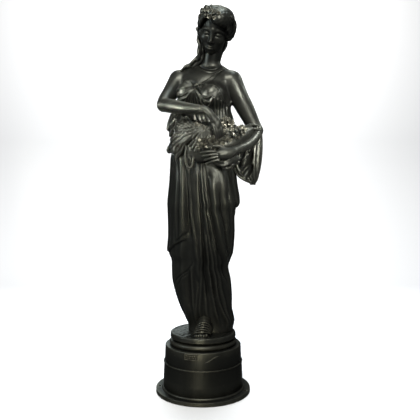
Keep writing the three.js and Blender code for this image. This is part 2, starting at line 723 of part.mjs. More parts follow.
// Samples a form on a grid and closes its zero surface with tetrahedra, which always gives a solid.
const CORNERS = [0, 1, 2, 3, 4, 5, 6, 7].map((c) => [c & 1, (c >> 1) & 1, c >> 2]);
const TETRAHEDRA = [[0, 1, 3, 7], [0, 3, 2, 7], [0, 2, 6, 7], [0, 6, 4, 7], [0, 4, 5, 7], [0, 5, 1, 7]];

function surfaceOf(shape, low, high, step) {
  const size = low.map((v, c) => Math.ceil((high[c] - v) / step) + 1);
  const [nx, ny, nz] = size;
  const index = (i, j, k) => i + nx * (j + ny * k);
  const edge = (i, j, k) => i === 0 || j === 0 || k === 0 || i === nx - 1 || j === ny - 1 || k === nz - 1;
  const values = new Float32Array(nx * ny * nz).fill(FAR);
  const block = 4;
  const blockReach = (block * step * Math.sqrt(3)) / 2;
  for (let k0 = 0; k0 < nz; k0 += block)
    for (let j0 = 0; j0 < ny; j0 += block)
      for (let i0 = 0; i0 < nx; i0 += block) {
        const middle = [i0, j0, k0].map((v, c) => low[c] + (v + block / 2) * step);
        const there = shape(...middle);
        const empty = Math.abs(there) > blockReach * 1.4 + 24;
        for (let k = k0; k < Math.min(k0 + block, nz); k++)
          for (let j = j0; j < Math.min(j0 + block, ny); j++)
            for (let i = i0; i < Math.min(i0 + block, nx); i++) {
              const v = empty ? there : shape(low[0] + i * step, low[1] + j * step, low[2] + k * step);
              const least = step * 0.04;
              const clear = Math.abs(v) < least ? (v < 0 ? -least : least) : v;
              values[index(i, j, k)] = edge(i, j, k) ? Math.max(clear, step) : clear;
            }
      }

  const positions = [];
  const triangles = [];
  const cuts = new Map();
  const total = nx * ny * nz;
  const offset = CORNERS.map(([a, b, c]) => index(a, b, c));
  const pointOf = (n) => {
    const i = n % nx;
    const j = Math.floor(n / nx) % ny;
    return [low[0] + i * step, low[1] + j * step, low[2] + Math.floor(n / (nx * ny)) * step];
  };
  const cut = (a, b) => {
    const [p, q] = a < b ? [a, b] : [b, a];
    const key = p * total + q;
    if (!cuts.has(key)) {
      const t = values[p] / (values[p] - values[q]);
      const from = pointOf(p);
      const to = pointOf(q);
      positions.push(...from.map((v, c) => lerp(v, to[c], t)));
      cuts.set(key, positions.length / 3 - 1);
    }
    return cuts.get(key);
  };
  for (let k = 0; k < nz - 1; k++)
    for (let j = 0; j < ny - 1; j++)
      for (let i = 0; i < nx - 1; i++) {
        const base = index(i, j, k);
        let below = 0;
        for (const o of offset) if (values[base + o] < 0) below++;
        if (below === 0 || below === 8) continue;
        for (const tetrahedron of TETRAHEDRA) {
          const n = tetrahedron.map((c) => base + offset[c]);
          const inside = [0, 1, 2, 3].filter((c) => values[n[c]] < 0);
          const outside = [0, 1, 2, 3].filter((c) => values[n[c]] >= 0);
          if (!inside.length || !outside.length) continue;
          // An even order of corners keeps the faces pointing out.
          const order = [...inside, ...outside];
          let swaps = 0;
          for (let a = 0; a < 4; a++) for (let b = a + 1; b < 4; b++) if (order[a] > order[b]) swaps++;
          const [a, b, c, d] = order.map((o) => n[o]);
          const add = (p, q, r) => triangles.push(...(swaps % 2 ? [p, r, q] : [p, q, r]));
          if (inside.length === 1) add(cut(a, b), cut(a, c), cut(a, d));
          else if (inside.length === 3) add(cut(a, d), cut(b, d), cut(c, d));
          else {
            add(cut(a, c), cut(a, d), cut(b, d));
            add(cut(a, c), cut(b, d), cut(b, c));
          }
        }
      }
  return { positions, triangles };
}

// Merges the edges that matter least, by the squared distance to the faces around them, until only so
// many triangles are left.
function simplified({ positions, triangles }, target) {
  const count = positions.length / 3;
  const at = Float64Array.from(positions);
  const tri = Int32Array.from(triangles);
  const alive = new Uint8Array(tri.length / 3).fill(1);
  const facesAt = Array.from({ length: count }, () => []);
  const quadrics = new Float64Array(10 * count);
  const normal = [0, 0, 0];
  const turnOf = (a, b, px, py, pz) => {
    const ax = at[3 * a] - px;
    const ay = at[3 * a + 1] - py;
    const az = at[3 * a + 2] - pz;
    const bx = at[3 * b] - px;
    const by = at[3 * b + 1] - py;
    const bz = at[3 * b + 2] - pz;
    normal[0] = ay * bz - az * by;
    normal[1] = az * bx - ax * bz;
    normal[2] = ax * by - ay * bx;
    return Math.sqrt(normal[0] * normal[0] + normal[1] * normal[1] + normal[2] * normal[2]);
  };
  for (let f = 0; f < alive.length; f++) {
    const [a, b, c] = [tri[3 * f], tri[3 * f + 1], tri[3 * f + 2]];
    const area = turnOf(b, c, at[3 * a], at[3 * a + 1], at[3 * a + 2]);
    for (const v of [a, b, c]) facesAt[v].push(f);
    if (area < 1e-9) continue;
    const plane = [...normal.map((n) => n / area), 0];
    plane[3] = -(plane[0] * at[3 * a] + plane[1] * at[3 * a + 1] + plane[2] * at[3 * a + 2]);
    let slot = 0;
    for (let i = 0; i < 4; i++)
      for (let j = i; j < 4; j++, slot++)
        for (const v of [a, b, c]) quadrics[10 * v + slot] += plane[i] * plane[j] * area;
  }

  // The best place for a merged corner is where the summed squared distance is least.
  const q = new Float64Array(10);
  const spot = [0, 0, 0];
  const errorAt = (x, y, z) =>
    q[0] * x * x + q[4] * y * y + q[7] * z * z + q[9] +
    2 * (q[1] * x * y + q[2] * x * z + q[3] * x + q[5] * y * z + q[6] * y + q[8] * z);
  const place = (x, y, z, least) => {
    const error = errorAt(x, y, z);
    if (error >= least) return least;
    spot[0] = x;
    spot[1] = y;
    spot[2] = z;
    return error;
  };
  const best = (a, b) => {
    for (let i = 0; i < 10; i++) q[i] = quadrics[10 * a + i] + quadrics[10 * b + i];
    const [ax, ay, az, bx, by, bz] = [at[3 * a], at[3 * a + 1], at[3 * a + 2], at[3 * b], at[3 * b + 1],
      at[3 * b + 2]];
    let cost = place((ax + bx) / 2, (ay + by) / 2, (az + bz) / 2, Infinity);
    cost = place(ax, ay, az, cost);
    cost = place(bx, by, bz, cost);
    const length = (ax - bx) ** 2 + (ay - by) ** 2 + (az - bz) ** 2;
    const c0 = q[4] * q[7] - q[5] * q[5];
    const c1 = q[2] * q[5] - q[1] * q[7];
    const c2 = q[1] * q[5] - q[2] * q[4];
    const determinant = q[0] * c0 + q[1] * c1 + q[2] * c2;
    if (Math.abs(determinant) > 1e-4 * (q[0] + q[4] + q[7]) ** 3) {
      const x = -(c0 * q[3] + c1 * q[6] + c2 * q[8]) / determinant;
      const y = -(c1 * q[3] + (q[0] * q[7] - q[2] * q[2]) * q[6]
        + (q[1] * q[2] - q[0] * q[5]) * q[8]) / determinant;
      const z = -(c2 * q[3] + (q[1] * q[2] - q[0] * q[5]) * q[6]
        + (q[0] * q[4] - q[1] * q[1]) * q[8]) / determinant;
      const away = (x - (ax + bx) / 2) ** 2 + (y - (ay + by) / 2) ** 2 + (z - (az + bz) / 2) ** 2;
      if (away < 2 * length) cost = place(x, y, z, cost);
    }
    return cost + length * 0.02;
  };

  // A heap of edges by cost. An edge is out of date once either of its ends has changed.
  const changes = new Int32Array(count);
  const [cost, endA, endB, stamp, heap] = [[], [], [], [], []];
  const consider = (a, b) => {
    const entry = cost.length;
    cost.push(best(a, b));
    endA.push(a);
    endB.push(b);
    stamp.push(changes[a] + changes[b]);
    let i = heap.length;
    heap.push(entry);
    while (i > 0) {
      const up = (i - 1) >> 1;
      if (cost[heap[up]] <= cost[entry]) break;
      heap[i] = heap[up];
      i = up;
    }
    heap[i] = entry;
  };
  const takeLeast = () => {
    const first = heap[0];
    const last = heap.pop();
    if (!heap.length) return first;
    let i = 0;
    for (;;) {
      let next = 2 * i + 1;
      if (next >= heap.length) break;
      if (next + 1 < heap.length && cost[heap[next + 1]] < cost[heap[next]]) next++;
      if (cost[heap[next]] >= cost[last]) break;
      heap[i] = heap[next];
      i = next;
    }
    heap[i] = last;
    return first;
  };
  const neighbours = (v) => {
    const list = [];
    for (const f of facesAt[v])
      for (let c = 0; c < 3; c++) {
        const w = tri[3 * f + c];
        if (w !== v && !list.includes(w)) list.push(w);
      }
    return list;
  };
  const flips = (v, other, x, y, z) => {
    for (const f of facesAt[v]) {
      const [a, b, c] = [tri[3 * f], tri[3 * f + 1], tri[3 * f + 2]];
      if (a === other || b === other || c === other) continue;
      const [p, r] = a === v ? [b, c] : b === v ? [c, a] : [a, b];
      const before = turnOf(p, r, at[3 * v], at[3 * v + 1], at[3 * v + 2]);
      const [nx, ny, nz] = normal;
      const after = turnOf(p, r, x, y, z);
      const same = nx * normal[0] + ny * normal[1] + nz * normal[2];
      if (same < 0.25 * before * after || after < 0.6) return true;
    }
    return false;
  };
  for (let v = 0; v < count; v++) for (const w of neighbours(v)) if (v < w) consider(v, w);
  let left = alive.length;
  while (left > target && heap.length) {
    const entry = takeLeast();
    const [a, b] = [endA[entry], endB[entry]];
    if (stamp[entry] !== changes[a] + changes[b]) continue;
    const around = neighbours(a);
    const shared = neighbours(b).filter((v) => around.includes(v));
    best(a, b);
    const [x, y, z] = spot;
    if (shared.length !== 2 || flips(a, b, x, y, z) || flips(b, a, x, y, z)) continue;
    for (const f of facesAt[b]) {
      const t = 3 * f;
      if (tri[t] === a || tri[t + 1] === a || tri[t + 2] === a) {
        alive[f] = 0;
        left--;
        for (let c = 0; c < 3; c++) {
          const v = tri[t + c];
          if (v !== b) facesAt[v] = facesAt[v].filter((g) => g !== f);
        }
      } else {
        for (let c = 0; c < 3; c++) if (tri[t + c] === b) tri[t + c] = a;
        facesAt[a].push(f);
      }
    }
    facesAt[b] = [];
    at.set([x, y, z], 3 * a);
    for (let i = 0; i < 10; i++) quadrics[10 * a + i] += quadrics[10 * b + i];
    changes[a]++;
    changes[b]++;
    for (const v of neighbours(a)) consider(a, v);
  }
  return { positions: Array.from(at), triangles: Array.from(tri.filter((_, i) => alive[Math.floor(i / 3)])) };
}

function geometryOf({ positions, triangles }) {
  return new THREE.BufferGeometry()
    .setAttribute("position", new THREE.Float32BufferAttribute(positions, 3))
    .setIndex(triangles);
}

function solidOf(geometry) {
  const bare = geometry.clone();
  bare.deleteAttribute("normal");
  bare.deleteAttribute("uv");
  const merged = mergeVertices(bare, 1e-3);
  return new wasm.Manifold(
    new wasm.Mesh({
      numProp: 3,
      vertProperties: merged.attributes.position.array,
      triVerts: new Uint32Array(merged.index.array),
    }),
  );
}

function geometryFrom(solid) {
  const { vertProperties, triVerts } = solid.getMesh();
  return geometryOf({ positions: vertProperties, triangles: Array.from(triVerts) });
}

// LatheGeometry turns about Y, so the round work is stood up to turn about Z.
function turned(outline, sides = roundSides) {
  const points = outline.map(([r, z]) => new THREE.Vector2(r, z));
  return new THREE.LatheGeometry(points, sides).rotateX(Math.PI / 2);
}

// An arc of [radius, height] points round a centre, from one angle to another in degrees.
function arc(radius, height, round, from, to, steps) {
  return Array.from({ length: steps + 1 }, (_, i) => {
    const a = rad(lerp(from, to, i / steps));
    return [radius + round * Math.cos(a), height + round * Math.sin(a)];
  });
}

const plinthTop = flangeHeight + drumHeight + torusHeight;
const terraceTop = plinthTop + seatGap + terraceHeight;

function plinth() {
  const drumTop = flangeHeight + drumHeight;
  const seam = flangeHeight + seamHeight;
  const taperAt = (z) => drumFootRadius - (drumTaper * (z - flangeHeight)) / drumHeight;
  const bodyOfPlinth = solidOf(
    turned([
      [0, 0],
      [flangeRadius, 0],
      [flangeRadius, flangeHeight],
      [footBeadRadius, flangeHeight],
      ...arc(footBeadRadius - footBeadHeight, flangeHeight, footBeadHeight, 0, 90, 3).slice(1),
      [taperAt(seam), seam - seamStep],
      [taperAt(seam) - seamStep, seam],
      ...arc(taperAt(drumTop) - seamStep - drumEdgeRound, drumTop - drumEdgeRound, drumEdgeRound, 0, 90, 2),
      ...arc(torusRadius - torusHeight / 2, drumTop + torusHeight / 2, torusHeight / 2, -90, 90, 6),
      [0, plinthTop],
    ]),
  );
  const drill = new THREE.CylinderGeometry(boltHoleRadius, boltHoleRadius, 3 * flangeHeight,
    12).rotateX(Math.PI / 2);
  const holes = boltAngles.map((a) =>
    solidOf(
      drill.clone().translate(boltCircleRadius * Math.cos(rad(a)), boltCircleRadius * Math.sin(rad(a)),
        flangeHeight / 2),
    ),
  );
  const plateMiddle = drumTop - plateDrop;
  const plateFace = taperAt(plateMiddle) - seamStep + plateProud;
  const plate = new THREE.BoxGeometry(plateWidth, plateThickness, plateHeight)
    .translate(0, plateThickness / 2 - plateFace, plateMiddle)
    .rotateZ(rad(plateAngle));
  return geometryFrom(holes.reduce((body, hole) => body.subtract(hole), bodyOfPlinth.add(solidOf(plate))));
}

function figure() {
  const bottom = plinthTop + seatGap;
  const lip = Math.min(terraceLip, 0.55 * terraceHeight);
  const lipRound = lip / 2;
  const underLip = terraceTop - lip - lipRound;
  const terrace = solidOf(
    turned([
      [0, bottom],
      [terraceNeckRadius, bottom],
      [terraceNeckRadius, lerp(bottom, underLip, 0.5)],
      [terraceRadius - lipRound, underLip],
      ...arc(terraceRadius - lipRound, terraceTop - lip, lipRound, -45, 0, 2),
      ...arc(terraceRadius - lipRound, terraceTop - lipRound, lipRound, 0, 90, 3),
      [0, terraceTop],
    ]),
  );
  const carve = (shape, low, high, grid, triangles) =>
    solidOf(geometryOf(simplified(surfaceOf(shape, low, high, grid), triangles)));
  const carving = [
    carve(bodyForm, [-180, -205, -12], [256, 140, 1056], bodyGrid, bodyFaceCount),
    carve(headForm, [-96, -130, 1012], [132, 110, 1284], headGrid, headFaceCount),
    carve(rightHand, [-10, -205, 725], [86, -140, 868], handGrid, handFaceCount),
    carve(leftHand, [-20, -205, 630], [136, -116, 726], handGrid, handFaceCount),
    carve(flowerForm, [-44, -190, 672], [186, -40, 838], flowerGrid, flowerFaceCount),
  ].reduce((whole, part) => whole.add(part));
  const { vertProperties, triVerts } = carving.getMesh();
  const smooth = solidOf(geometryOf(simplified({ positions: vertProperties, triangles: triVerts },
    carvingFaceCount)));
  const placed = smooth.scale([carvingScale, carvingScale, carvingScale]).translate([0, 0, terraceTop]);
  const [largest] = terrace.add(placed).decompose().sort((a, b) => b.volume() - a.volume());
  return geometryFrom(largest);
}

const castIron = new THREE.MeshStandardMaterial({ color: 0x23231e, roughness: 0.42, metalness: 0.6 });

function piece(name, geometry) {
  const mesh = new THREE.Mesh(geometry, castIron.clone());
  mesh.name = name;
  return mesh;
}

const garden = new THREE.Group();
garden.add(piece("figure", figure()), piece("plinth", plinth()));
export default garden;
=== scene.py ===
# %% [markdown]
# # A cast iron garden statue
# A young woman in a draped antique dress gathers flowers into the cloth over her left arm. The real one is
# two hollow castings of grey iron, the figure with its round terrace and the plinth below, painted a dark
# bronze. A founder presses a carved pattern into sand, so cloth, hair and skin all come out as one skin of
# metal, and no edge on it is sharper than the sand allowed. That is why the figure is built here as one soft
# mass, pressed and cut like clay, and only then turned into a mesh.

import math

import bpy
import numpy as np
from mathutils import Euler, Matrix, Vector


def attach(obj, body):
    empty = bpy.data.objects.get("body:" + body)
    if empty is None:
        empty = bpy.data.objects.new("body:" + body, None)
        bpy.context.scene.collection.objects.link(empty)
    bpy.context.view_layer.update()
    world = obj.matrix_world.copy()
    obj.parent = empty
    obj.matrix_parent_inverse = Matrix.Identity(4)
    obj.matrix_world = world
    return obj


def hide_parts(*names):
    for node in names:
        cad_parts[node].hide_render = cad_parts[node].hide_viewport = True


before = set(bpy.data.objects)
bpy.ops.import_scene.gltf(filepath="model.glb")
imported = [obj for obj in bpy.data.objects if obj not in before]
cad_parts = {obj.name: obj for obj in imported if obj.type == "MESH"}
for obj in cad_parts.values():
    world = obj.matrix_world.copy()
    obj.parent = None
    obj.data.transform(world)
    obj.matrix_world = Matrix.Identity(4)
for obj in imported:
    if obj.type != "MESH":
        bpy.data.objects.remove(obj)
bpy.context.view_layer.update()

# %% [markdown]
# ## Camera, light and floor
# The photograph was taken from about two and a quarter metres in front, a little above the statue's middle,
# so the eye looks down on the terrace and up at the bowed head. Standing that far back
# keeps the plinth's ovals as flat as they are in the picture, and the shift moves the frame up or down
# without tipping the upright lines.

# %% Camera
camera_data = bpy.data.cameras.new("Camera")
camera_data.lens = 49.37
camera_data.shift_y = -0.03
camera = bpy.data.objects.new("Camera", camera_data)
camera.location = (0.0273, -2.245, 0.8285)
camera.rotation_euler = (math.radians(90 - 1.84), 0, 0)
bpy.context.scene.collection.objects.link(camera)
bpy.context.scene.camera = camera
print("camera looks", round(math.degrees(camera.rotation_euler.x) - 90, 2), "degrees from level")

# %% [markdown]
# Dark satin paint shows a lamp only where it mirrors one. So one broad key lamp hangs high in front, three
# cool lamps at the side, above and behind draw the edges, and five small lamps with narrow beams, as a grid
# on a studio lamp gives, each bring up one place: the arm, the thigh, the forearm, the far edge and the drum.
# A lamp of its own whitens the paper behind.

# %% Lights


def area_light(name, place, aim, size, power, colour, spread=180):
    """A square soft lamp at place that faces aim, with a grid that narrows its beam to spread degrees."""
    data = bpy.data.lights.new(name, "AREA")
    data.size = size
    data.energy = power
    data.color = colour
    data.spread = math.radians(spread)
    lamp = bpy.data.objects.new(name, data)
    lamp.location = place
    lamp.rotation_euler = (Vector(aim) - Vector(place)).to_track_quat("-Z", "Y").to_euler()
    lamp.visible_camera = False
    bpy.context.scene.collection.objects.link(lamp)
    return lamp


area_light("KeyLight", (-0.3, -2.1, 2.9), (0, 0, 1.0), 0.5, 112, (1.0, 0.98, 0.93))
area_light("ArmLight", (1.0, -2.1, 1.3), (0.19, -0.03, 1.0), 0.35, 1.3, (1.0, 0.99, 0.96), 11)
area_light("ThighLight", (0.9, -2.1, 0.75), (0.09, -0.12, 0.8), 0.4, 0.2, (1.0, 0.95, 0.76), 9)
area_light("ForearmLight", (-2.2, -0.95, 1.25), (-0.13, -0.12, 1.08), 0.3, 0.7, (1.0, 0.98, 0.9), 7)
area_light("RimLight", (2.2, 0.75, 2.5), (0.16, -0.06, 0.98), 0.4, 0.8, (0.95, 0.98, 1.0), 16)
area_light("DrumLight", (-0.35, -1.9, 0.1), (0, 0, 0.14), 0.25, 0.18, (1.0, 0.92, 0.7), 18)
area_light("SideLight", (-2.3, -0.8, 1.6), (0, 0, 0.9), 0.6, 22, (0.8, 0.91, 1.0))
area_light("TopLight", (0.3, 0.2, 3.2), (0, 0, 0.9), 0.7, 40, (0.8, 0.9, 1.0))
area_light("BackLight", (-0.5, 2.0, 1.0), (0, 0, 0.5), 1.0, 20, (0.78, 0.89, 1.0))
area_light("WallLight", (0, 1.3, 3.4), (0, 3.4, 0.9), 1.4, 160, (1.0, 1.0, 1.0))

world = bpy.data.worlds.new("WhiteRoom")
world.use_nodes = True
world.node_tree.nodes["Background"].inputs["Color"].default_value = (0.92, 0.95, 1.0, 1)
world.node_tree.nodes["Background"].inputs["Strength"].default_value = 0.18
bpy.context.scene.world = world
bpy.context.scene.view_settings.view_transform = "Standard"
print(len(bpy.data.lights), "soft lights and a pale room")

# %% [markdown]
# ## Carving as clay
# Blender can sculpt by hand, but a script needs shapes it can say in numbers. Here a shape is a function that
# gives, for any point, about how far it lies outside the surface, and less than zero inside. Two shapes melt
# together when the smaller of their two values is rounded off where they meet, exactly as clay is smoothed
# with a thumb. The values are kept on a fine grid, and the surface is where they cross zero.

# %% Forms
FAR = 400.0


class Form:
    """A shape in millimetres. at(x, y, z) is negative inside, and low and high are the corners of its box."""

    def __init__(self, low, high, at):
        self.low = np.array(low, float)
        self.high = np.array(high, float)
        self.at = at


def round_min(a, b, blend):
    """The smaller of two values, rounded off where they are closer than blend."""
    step = np.maximum(blend - np.abs(a - b), 0) / blend
    return np.minimum(a, b) - step * step * (blend / 4)


def smoothstep(value, low, high):
    """A soft step from 0 at low to 1 at high."""
    t = np.clip((value - low) / (high - low), 0, 1)
    return t * t * (3 - 2 * t)


def ellipsoid(centre, radii, turn=(0, 0, 0)):
    """An egg of three radii, turned about X, then Y, then Z."""
    axes = np.array(Euler([math.radians(a) for a in turn], "XYZ").to_matrix())
    reach = np.sqrt((axes**2) @ (np.array(radii, float) ** 2))

    def at(x, y, z):
        dx, dy, dz = x - centre[0], y - centre[1], z - centre[2]
        u, v, w = [(axes[0, i] * dx + axes[1, i] * dy + axes[2, i] * dz) / radii[i] for i in range(3)]
        near = np.sqrt(u * u + v * v + w * w)
        slope = np.sqrt((u / radii[0]) ** 2 + (v / radii[1]) ** 2 + (w / radii[2]) ** 2) + 1e-6
        return near * (near - 1) / slope

    return Form(np.array(centre) - reach, np.array(centre) + reach, at)


def smooth_line(knots, steps):
    """Points along a smooth line that passes through every knot."""
    knots = np.array(knots, float)
    ends = np.vstack([2 * knots[0] - knots[1], knots, 2 * knots[-1] - knots[-2]])
    line = []
    for i in range(len(knots) - 1):
        before, a, b, after = ends[i : i + 4]
        for s in range(steps):
            t = s / steps
            leave, arrive = (b - before) / 2, (after - a) / 2
            line.append(
                (2 * t**3 - 3 * t**2 + 1) * a
                + (t**3 - 2 * t**2 + t) * leave
                + (3 * t**2 - 2 * t**3) * b
                + (t**3 - t**2) * arrive
            )
    line.append(knots[-1])
    return np.array(line)


def tube(knots, steps=4):
    """A round limb or roll of cloth through knots of x, y, z and radius."""
    line = smooth_line(knots, steps)
    line[:, 3] = np.maximum(line[:, 3], 0.8)
    low = (line[:, :3] - line[:, 3:]).min(axis=0)
    high = (line[:, :3] + line[:, 3:]).max(axis=0)

    def at(x, y, z):
        nearest = None
        for a, b in zip(line, line[1:]):
            bx, by, bz = b[:3] - a[:3]
            dx, dy, dz = x - a[0], y - a[1], z - a[2]
            t = np.clip((dx * bx + dy * by + dz * bz) / (bx * bx + by * by + bz * bz), 0, 1)
            away = np.sqrt((dx - t * bx) ** 2 + (dy - t * by) ** 2 + (dz - t * bz) ** 2)
            away = away - (a[3] + t * (b[3] - a[3]))
            nearest = away if nearest is None else np.minimum(nearest, away)
        return nearest

    return Form(low, high, at)


# %% [markdown]
# Forms are pressed into a block of samples one after another, and only inside the window that each can reach,
# so a finger costs far less time than a skirt. Cutting is the same as adding, with the outside turned in.

# %% The block of clay


class Clay:
    """A block of samples, one every step millimetres, that forms are pressed into."""

    def __init__(self, low, high, step):
        step = step * 1.0
        self.low = np.array(low, float)
        self.step = step
        self.axes = [
            (l + step * np.arange(math.ceil((h - l) / step) + 1)).astype(np.float32) for l, h in zip(low,
            high)
        ]
        self.field = np.full([len(axis) for axis in self.axes], FAR, np.float32)

    def window(self, low, high, margin):
        cut = []
        for axis, l, h in zip(self.axes, low, high):
            cut.append(slice(*np.searchsorted(axis, (l - margin, h + margin))))
        x, y, z = (axis[c] for axis, c in zip(self.axes, cut))
        return tuple(cut), (x[:, None, None], y[None, :, None], z[None, None, :])

    def add(self, form, blend=3):
        cut, place = self.window(form.low, form.high, blend + 2 * self.step)
        if self.field[cut].size:
            self.field[cut] = round_min(self.field[cut], form.at(*place), blend)

    def cut(self, form, blend=3):
        cut, place = self.window(form.low, form.high, blend + 2 * self.step)
        if self.field[cut].size:
            self.field[cut] = -round_min(-self.field[cut], form.at(*place), blend)

    def relief(self, low, high, height, reach):
        """Raises the surface inside a box by height(x, y, z)."""
        cut, place = self.window(low, high, 0)
        block = self.field[cut]
        near = np.abs(block) < reach
        x, y, z = (np.broadcast_to(p, block.shape)[near] for p in place)
        block[near] -= height(x, y, z).astype(np.float32)


# %% [markdown]
# ## From clay to mesh
# In every small cell of the grid that the surface passes through goes one point, as near to the surface as
# can be, and the points of four neighbouring cells make a face. Modellers know the method as surface nets.
# It gives even squares that take the light smoothly, where a voxel remesh of a rough mesh would add steps.

# %% Skin of a block
CORNERS = [(i, j, k) for i in (0, 1) for j in (0, 1) for k in (0, 1)]


def skin(clay):
    """The points and four-cornered faces of a block's surface, in millimetres."""
    field = clay.field
    for axis in range(3):
        for end in (0, -1):
            edge = [slice(None)] * 3
            edge[axis] = end
            field[tuple(edge)] = np.maximum(field[tuple(edge)], clay.step)
    inside = field < 0
    shape = [n - 1 for n in field.shape]
    filled = np.zeros(shape, np.int8)
    for i, j, k in CORNERS:
        filled += inside[i : i + shape[0], j : j + shape[1], k : k + shape[2]]
    cells = np.argwhere((filled > 0) & (filled < 8))
    value = {(i, j, k): field[cells[:, 0] + i, cells[:, 1] + j, cells[:, 2] + k] for i, j, k in CORNERS}

    total = np.zeros((len(cells), 3))
    hits = np.zeros(len(cells))
    for corner in CORNERS:
        for axis in range(3):
            if corner[axis]:
                continue
            other = tuple(1 if n == axis else c for n, c in enumerate(corner))
            a, b = value[corner], value[other]
            crosses = (a < 0) != (b < 0)
            point = np.tile(np.array(corner, float), (len(cells), 1))
            point[:, axis] = np.where(crosses, a / np.where(crosses, a - b, 1), 0)
            total += point * crosses[:, None]
            hits += crosses
    place = total / hits[:, None]

    # Two steps down the slope bring each point onto the surface itself.
    for _ in range(2):
        here = np.zeros(len(cells))
        slope = np.zeros((len(cells), 3))
        for corner in CORNERS:
            share = [place[:, n] if c else 1 - place[:, n] for n, c in enumerate(corner)]
            here += value[corner] * share[0] * share[1] * share[2]
            for n in range(3):
                rest = share[(n + 1) % 3] * share[(n + 2) % 3]
                slope[:, n] += value[corner] * rest * (1 if corner[n] else -1)
        steep = np.maximum((slope**2).sum(axis=1), 1e-3)
        move = slope * (here / steep)[:, None]
        place = np.clip(place - np.clip(move, -0.5, 0.5), 0.02, 0.98)

    number = np.full(shape, -1, np.int32)
    number[tuple(cells.T)] = np.arange(len(cells))
    faces = []
    for axis in range(3):
        u, v = (axis + 1) % 3, (axis + 2) % 3
        first, second = [slice(1, -1)] * 3, [slice(1, -1)] * 3
        first[axis], second[axis] = slice(0, -1), slice(1, None)
        leaves = inside[tuple(first)]
        at = np.argwhere(leaves != inside[tuple(second)])
        outward = leaves[tuple(at.T)]
        at[:, u] += 1
        at[:, v] += 1
        ring = []
        for du, dv in ((0, 0), (1, 0), (1, 1), (0, 1)):
            cell = at.copy()
            cell[:, u] -= du
            cell[:, v] -= dv
            ring.append(number[tuple(cell.T)])
        ring = np.stack(ring, axis=1)
        faces.append(np.where(outward[:, None], ring, ring[:, ::-1]))
    return clay.low + (cells + place) * clay.step, np.vstack(faces)


# %% [markdown]
# A casting is one skin of iron, but here it is several meshes, because each has its own fineness. Every piece
# rides on the statue's one body and stands for the solid whose form it keeps.

# %% Piece from points and faces
TERRACE_TOP = 234.3


def make_piece(name, points, faces, material, node="figure"):
    """A mesh object from points in millimetres above the terrace's top; it stands for a solid."""
    mesh = bpy.data.meshes.new(name)
    raised = np.array(points, float) + (0, 0, TERRACE_TOP)
    mesh.from_pydata((raised / 1000).tolist(), [], [list(map(int, f)) for f in faces])
    mesh.shade_smooth()
    mesh.materials.append(material)
    piece = bpy.data.objects.new(name, mesh)
    bpy.context.scene.collection.objects.link(piece)
    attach(piece, "root")
    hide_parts(node)
    triangles = sum(len(f) - 2 for f in faces)
    print(name, "has", triangles, "triangles")
    return piece


def colour(hex_value):
    """An sRGB hex colour as the linear colour that a shader wants."""
    parts = [int(hex_value[i : i + 2], 16) / 255 for i in (1, 3, 5)]
    return tuple(c / 12.92 if c <= 0.04045 else ((c + 0.055) / 1.055) ** 2.4 for c in parts) + (1.0,)


# %% [markdown]
# ## Bronze paint on cast iron
# The iron is primed and sprayed with a dark bronze paint. Iron cast in sand keeps a fine grain of about half
# a millimetre under the paint, with a softer unevenness of a few centimetres from the hand-finished pattern.
# The paint is satin: it mirrors a room as a soft grey-green glow. On the high spots, where hands and rain
# rub it, it is a little browner and shinier, and the lighter colour there is also a painted highlight on the
# ridges. The hollows are painted nearly black as painted shade. That contrast is what lets the eye read the
# carving. The grain is drawn about three times too coarse, so that it shows.

# %% Material maker


def node(tree, kind, links=(), **settings):
    """Adds a node with its settings. links are (input, socket it comes from) pairs."""
    made = tree.nodes.new(kind)
    for name, value in settings.items():
        if name.startswith("in_"):
            key = name[3:]
            made.inputs[int(key) if key.isdigit() else key.replace("_", " ")].default_value = value
        else:
            setattr(made, name, value)
    for target, source in links:
        tree.links.new(source, made.inputs[target])
    return made


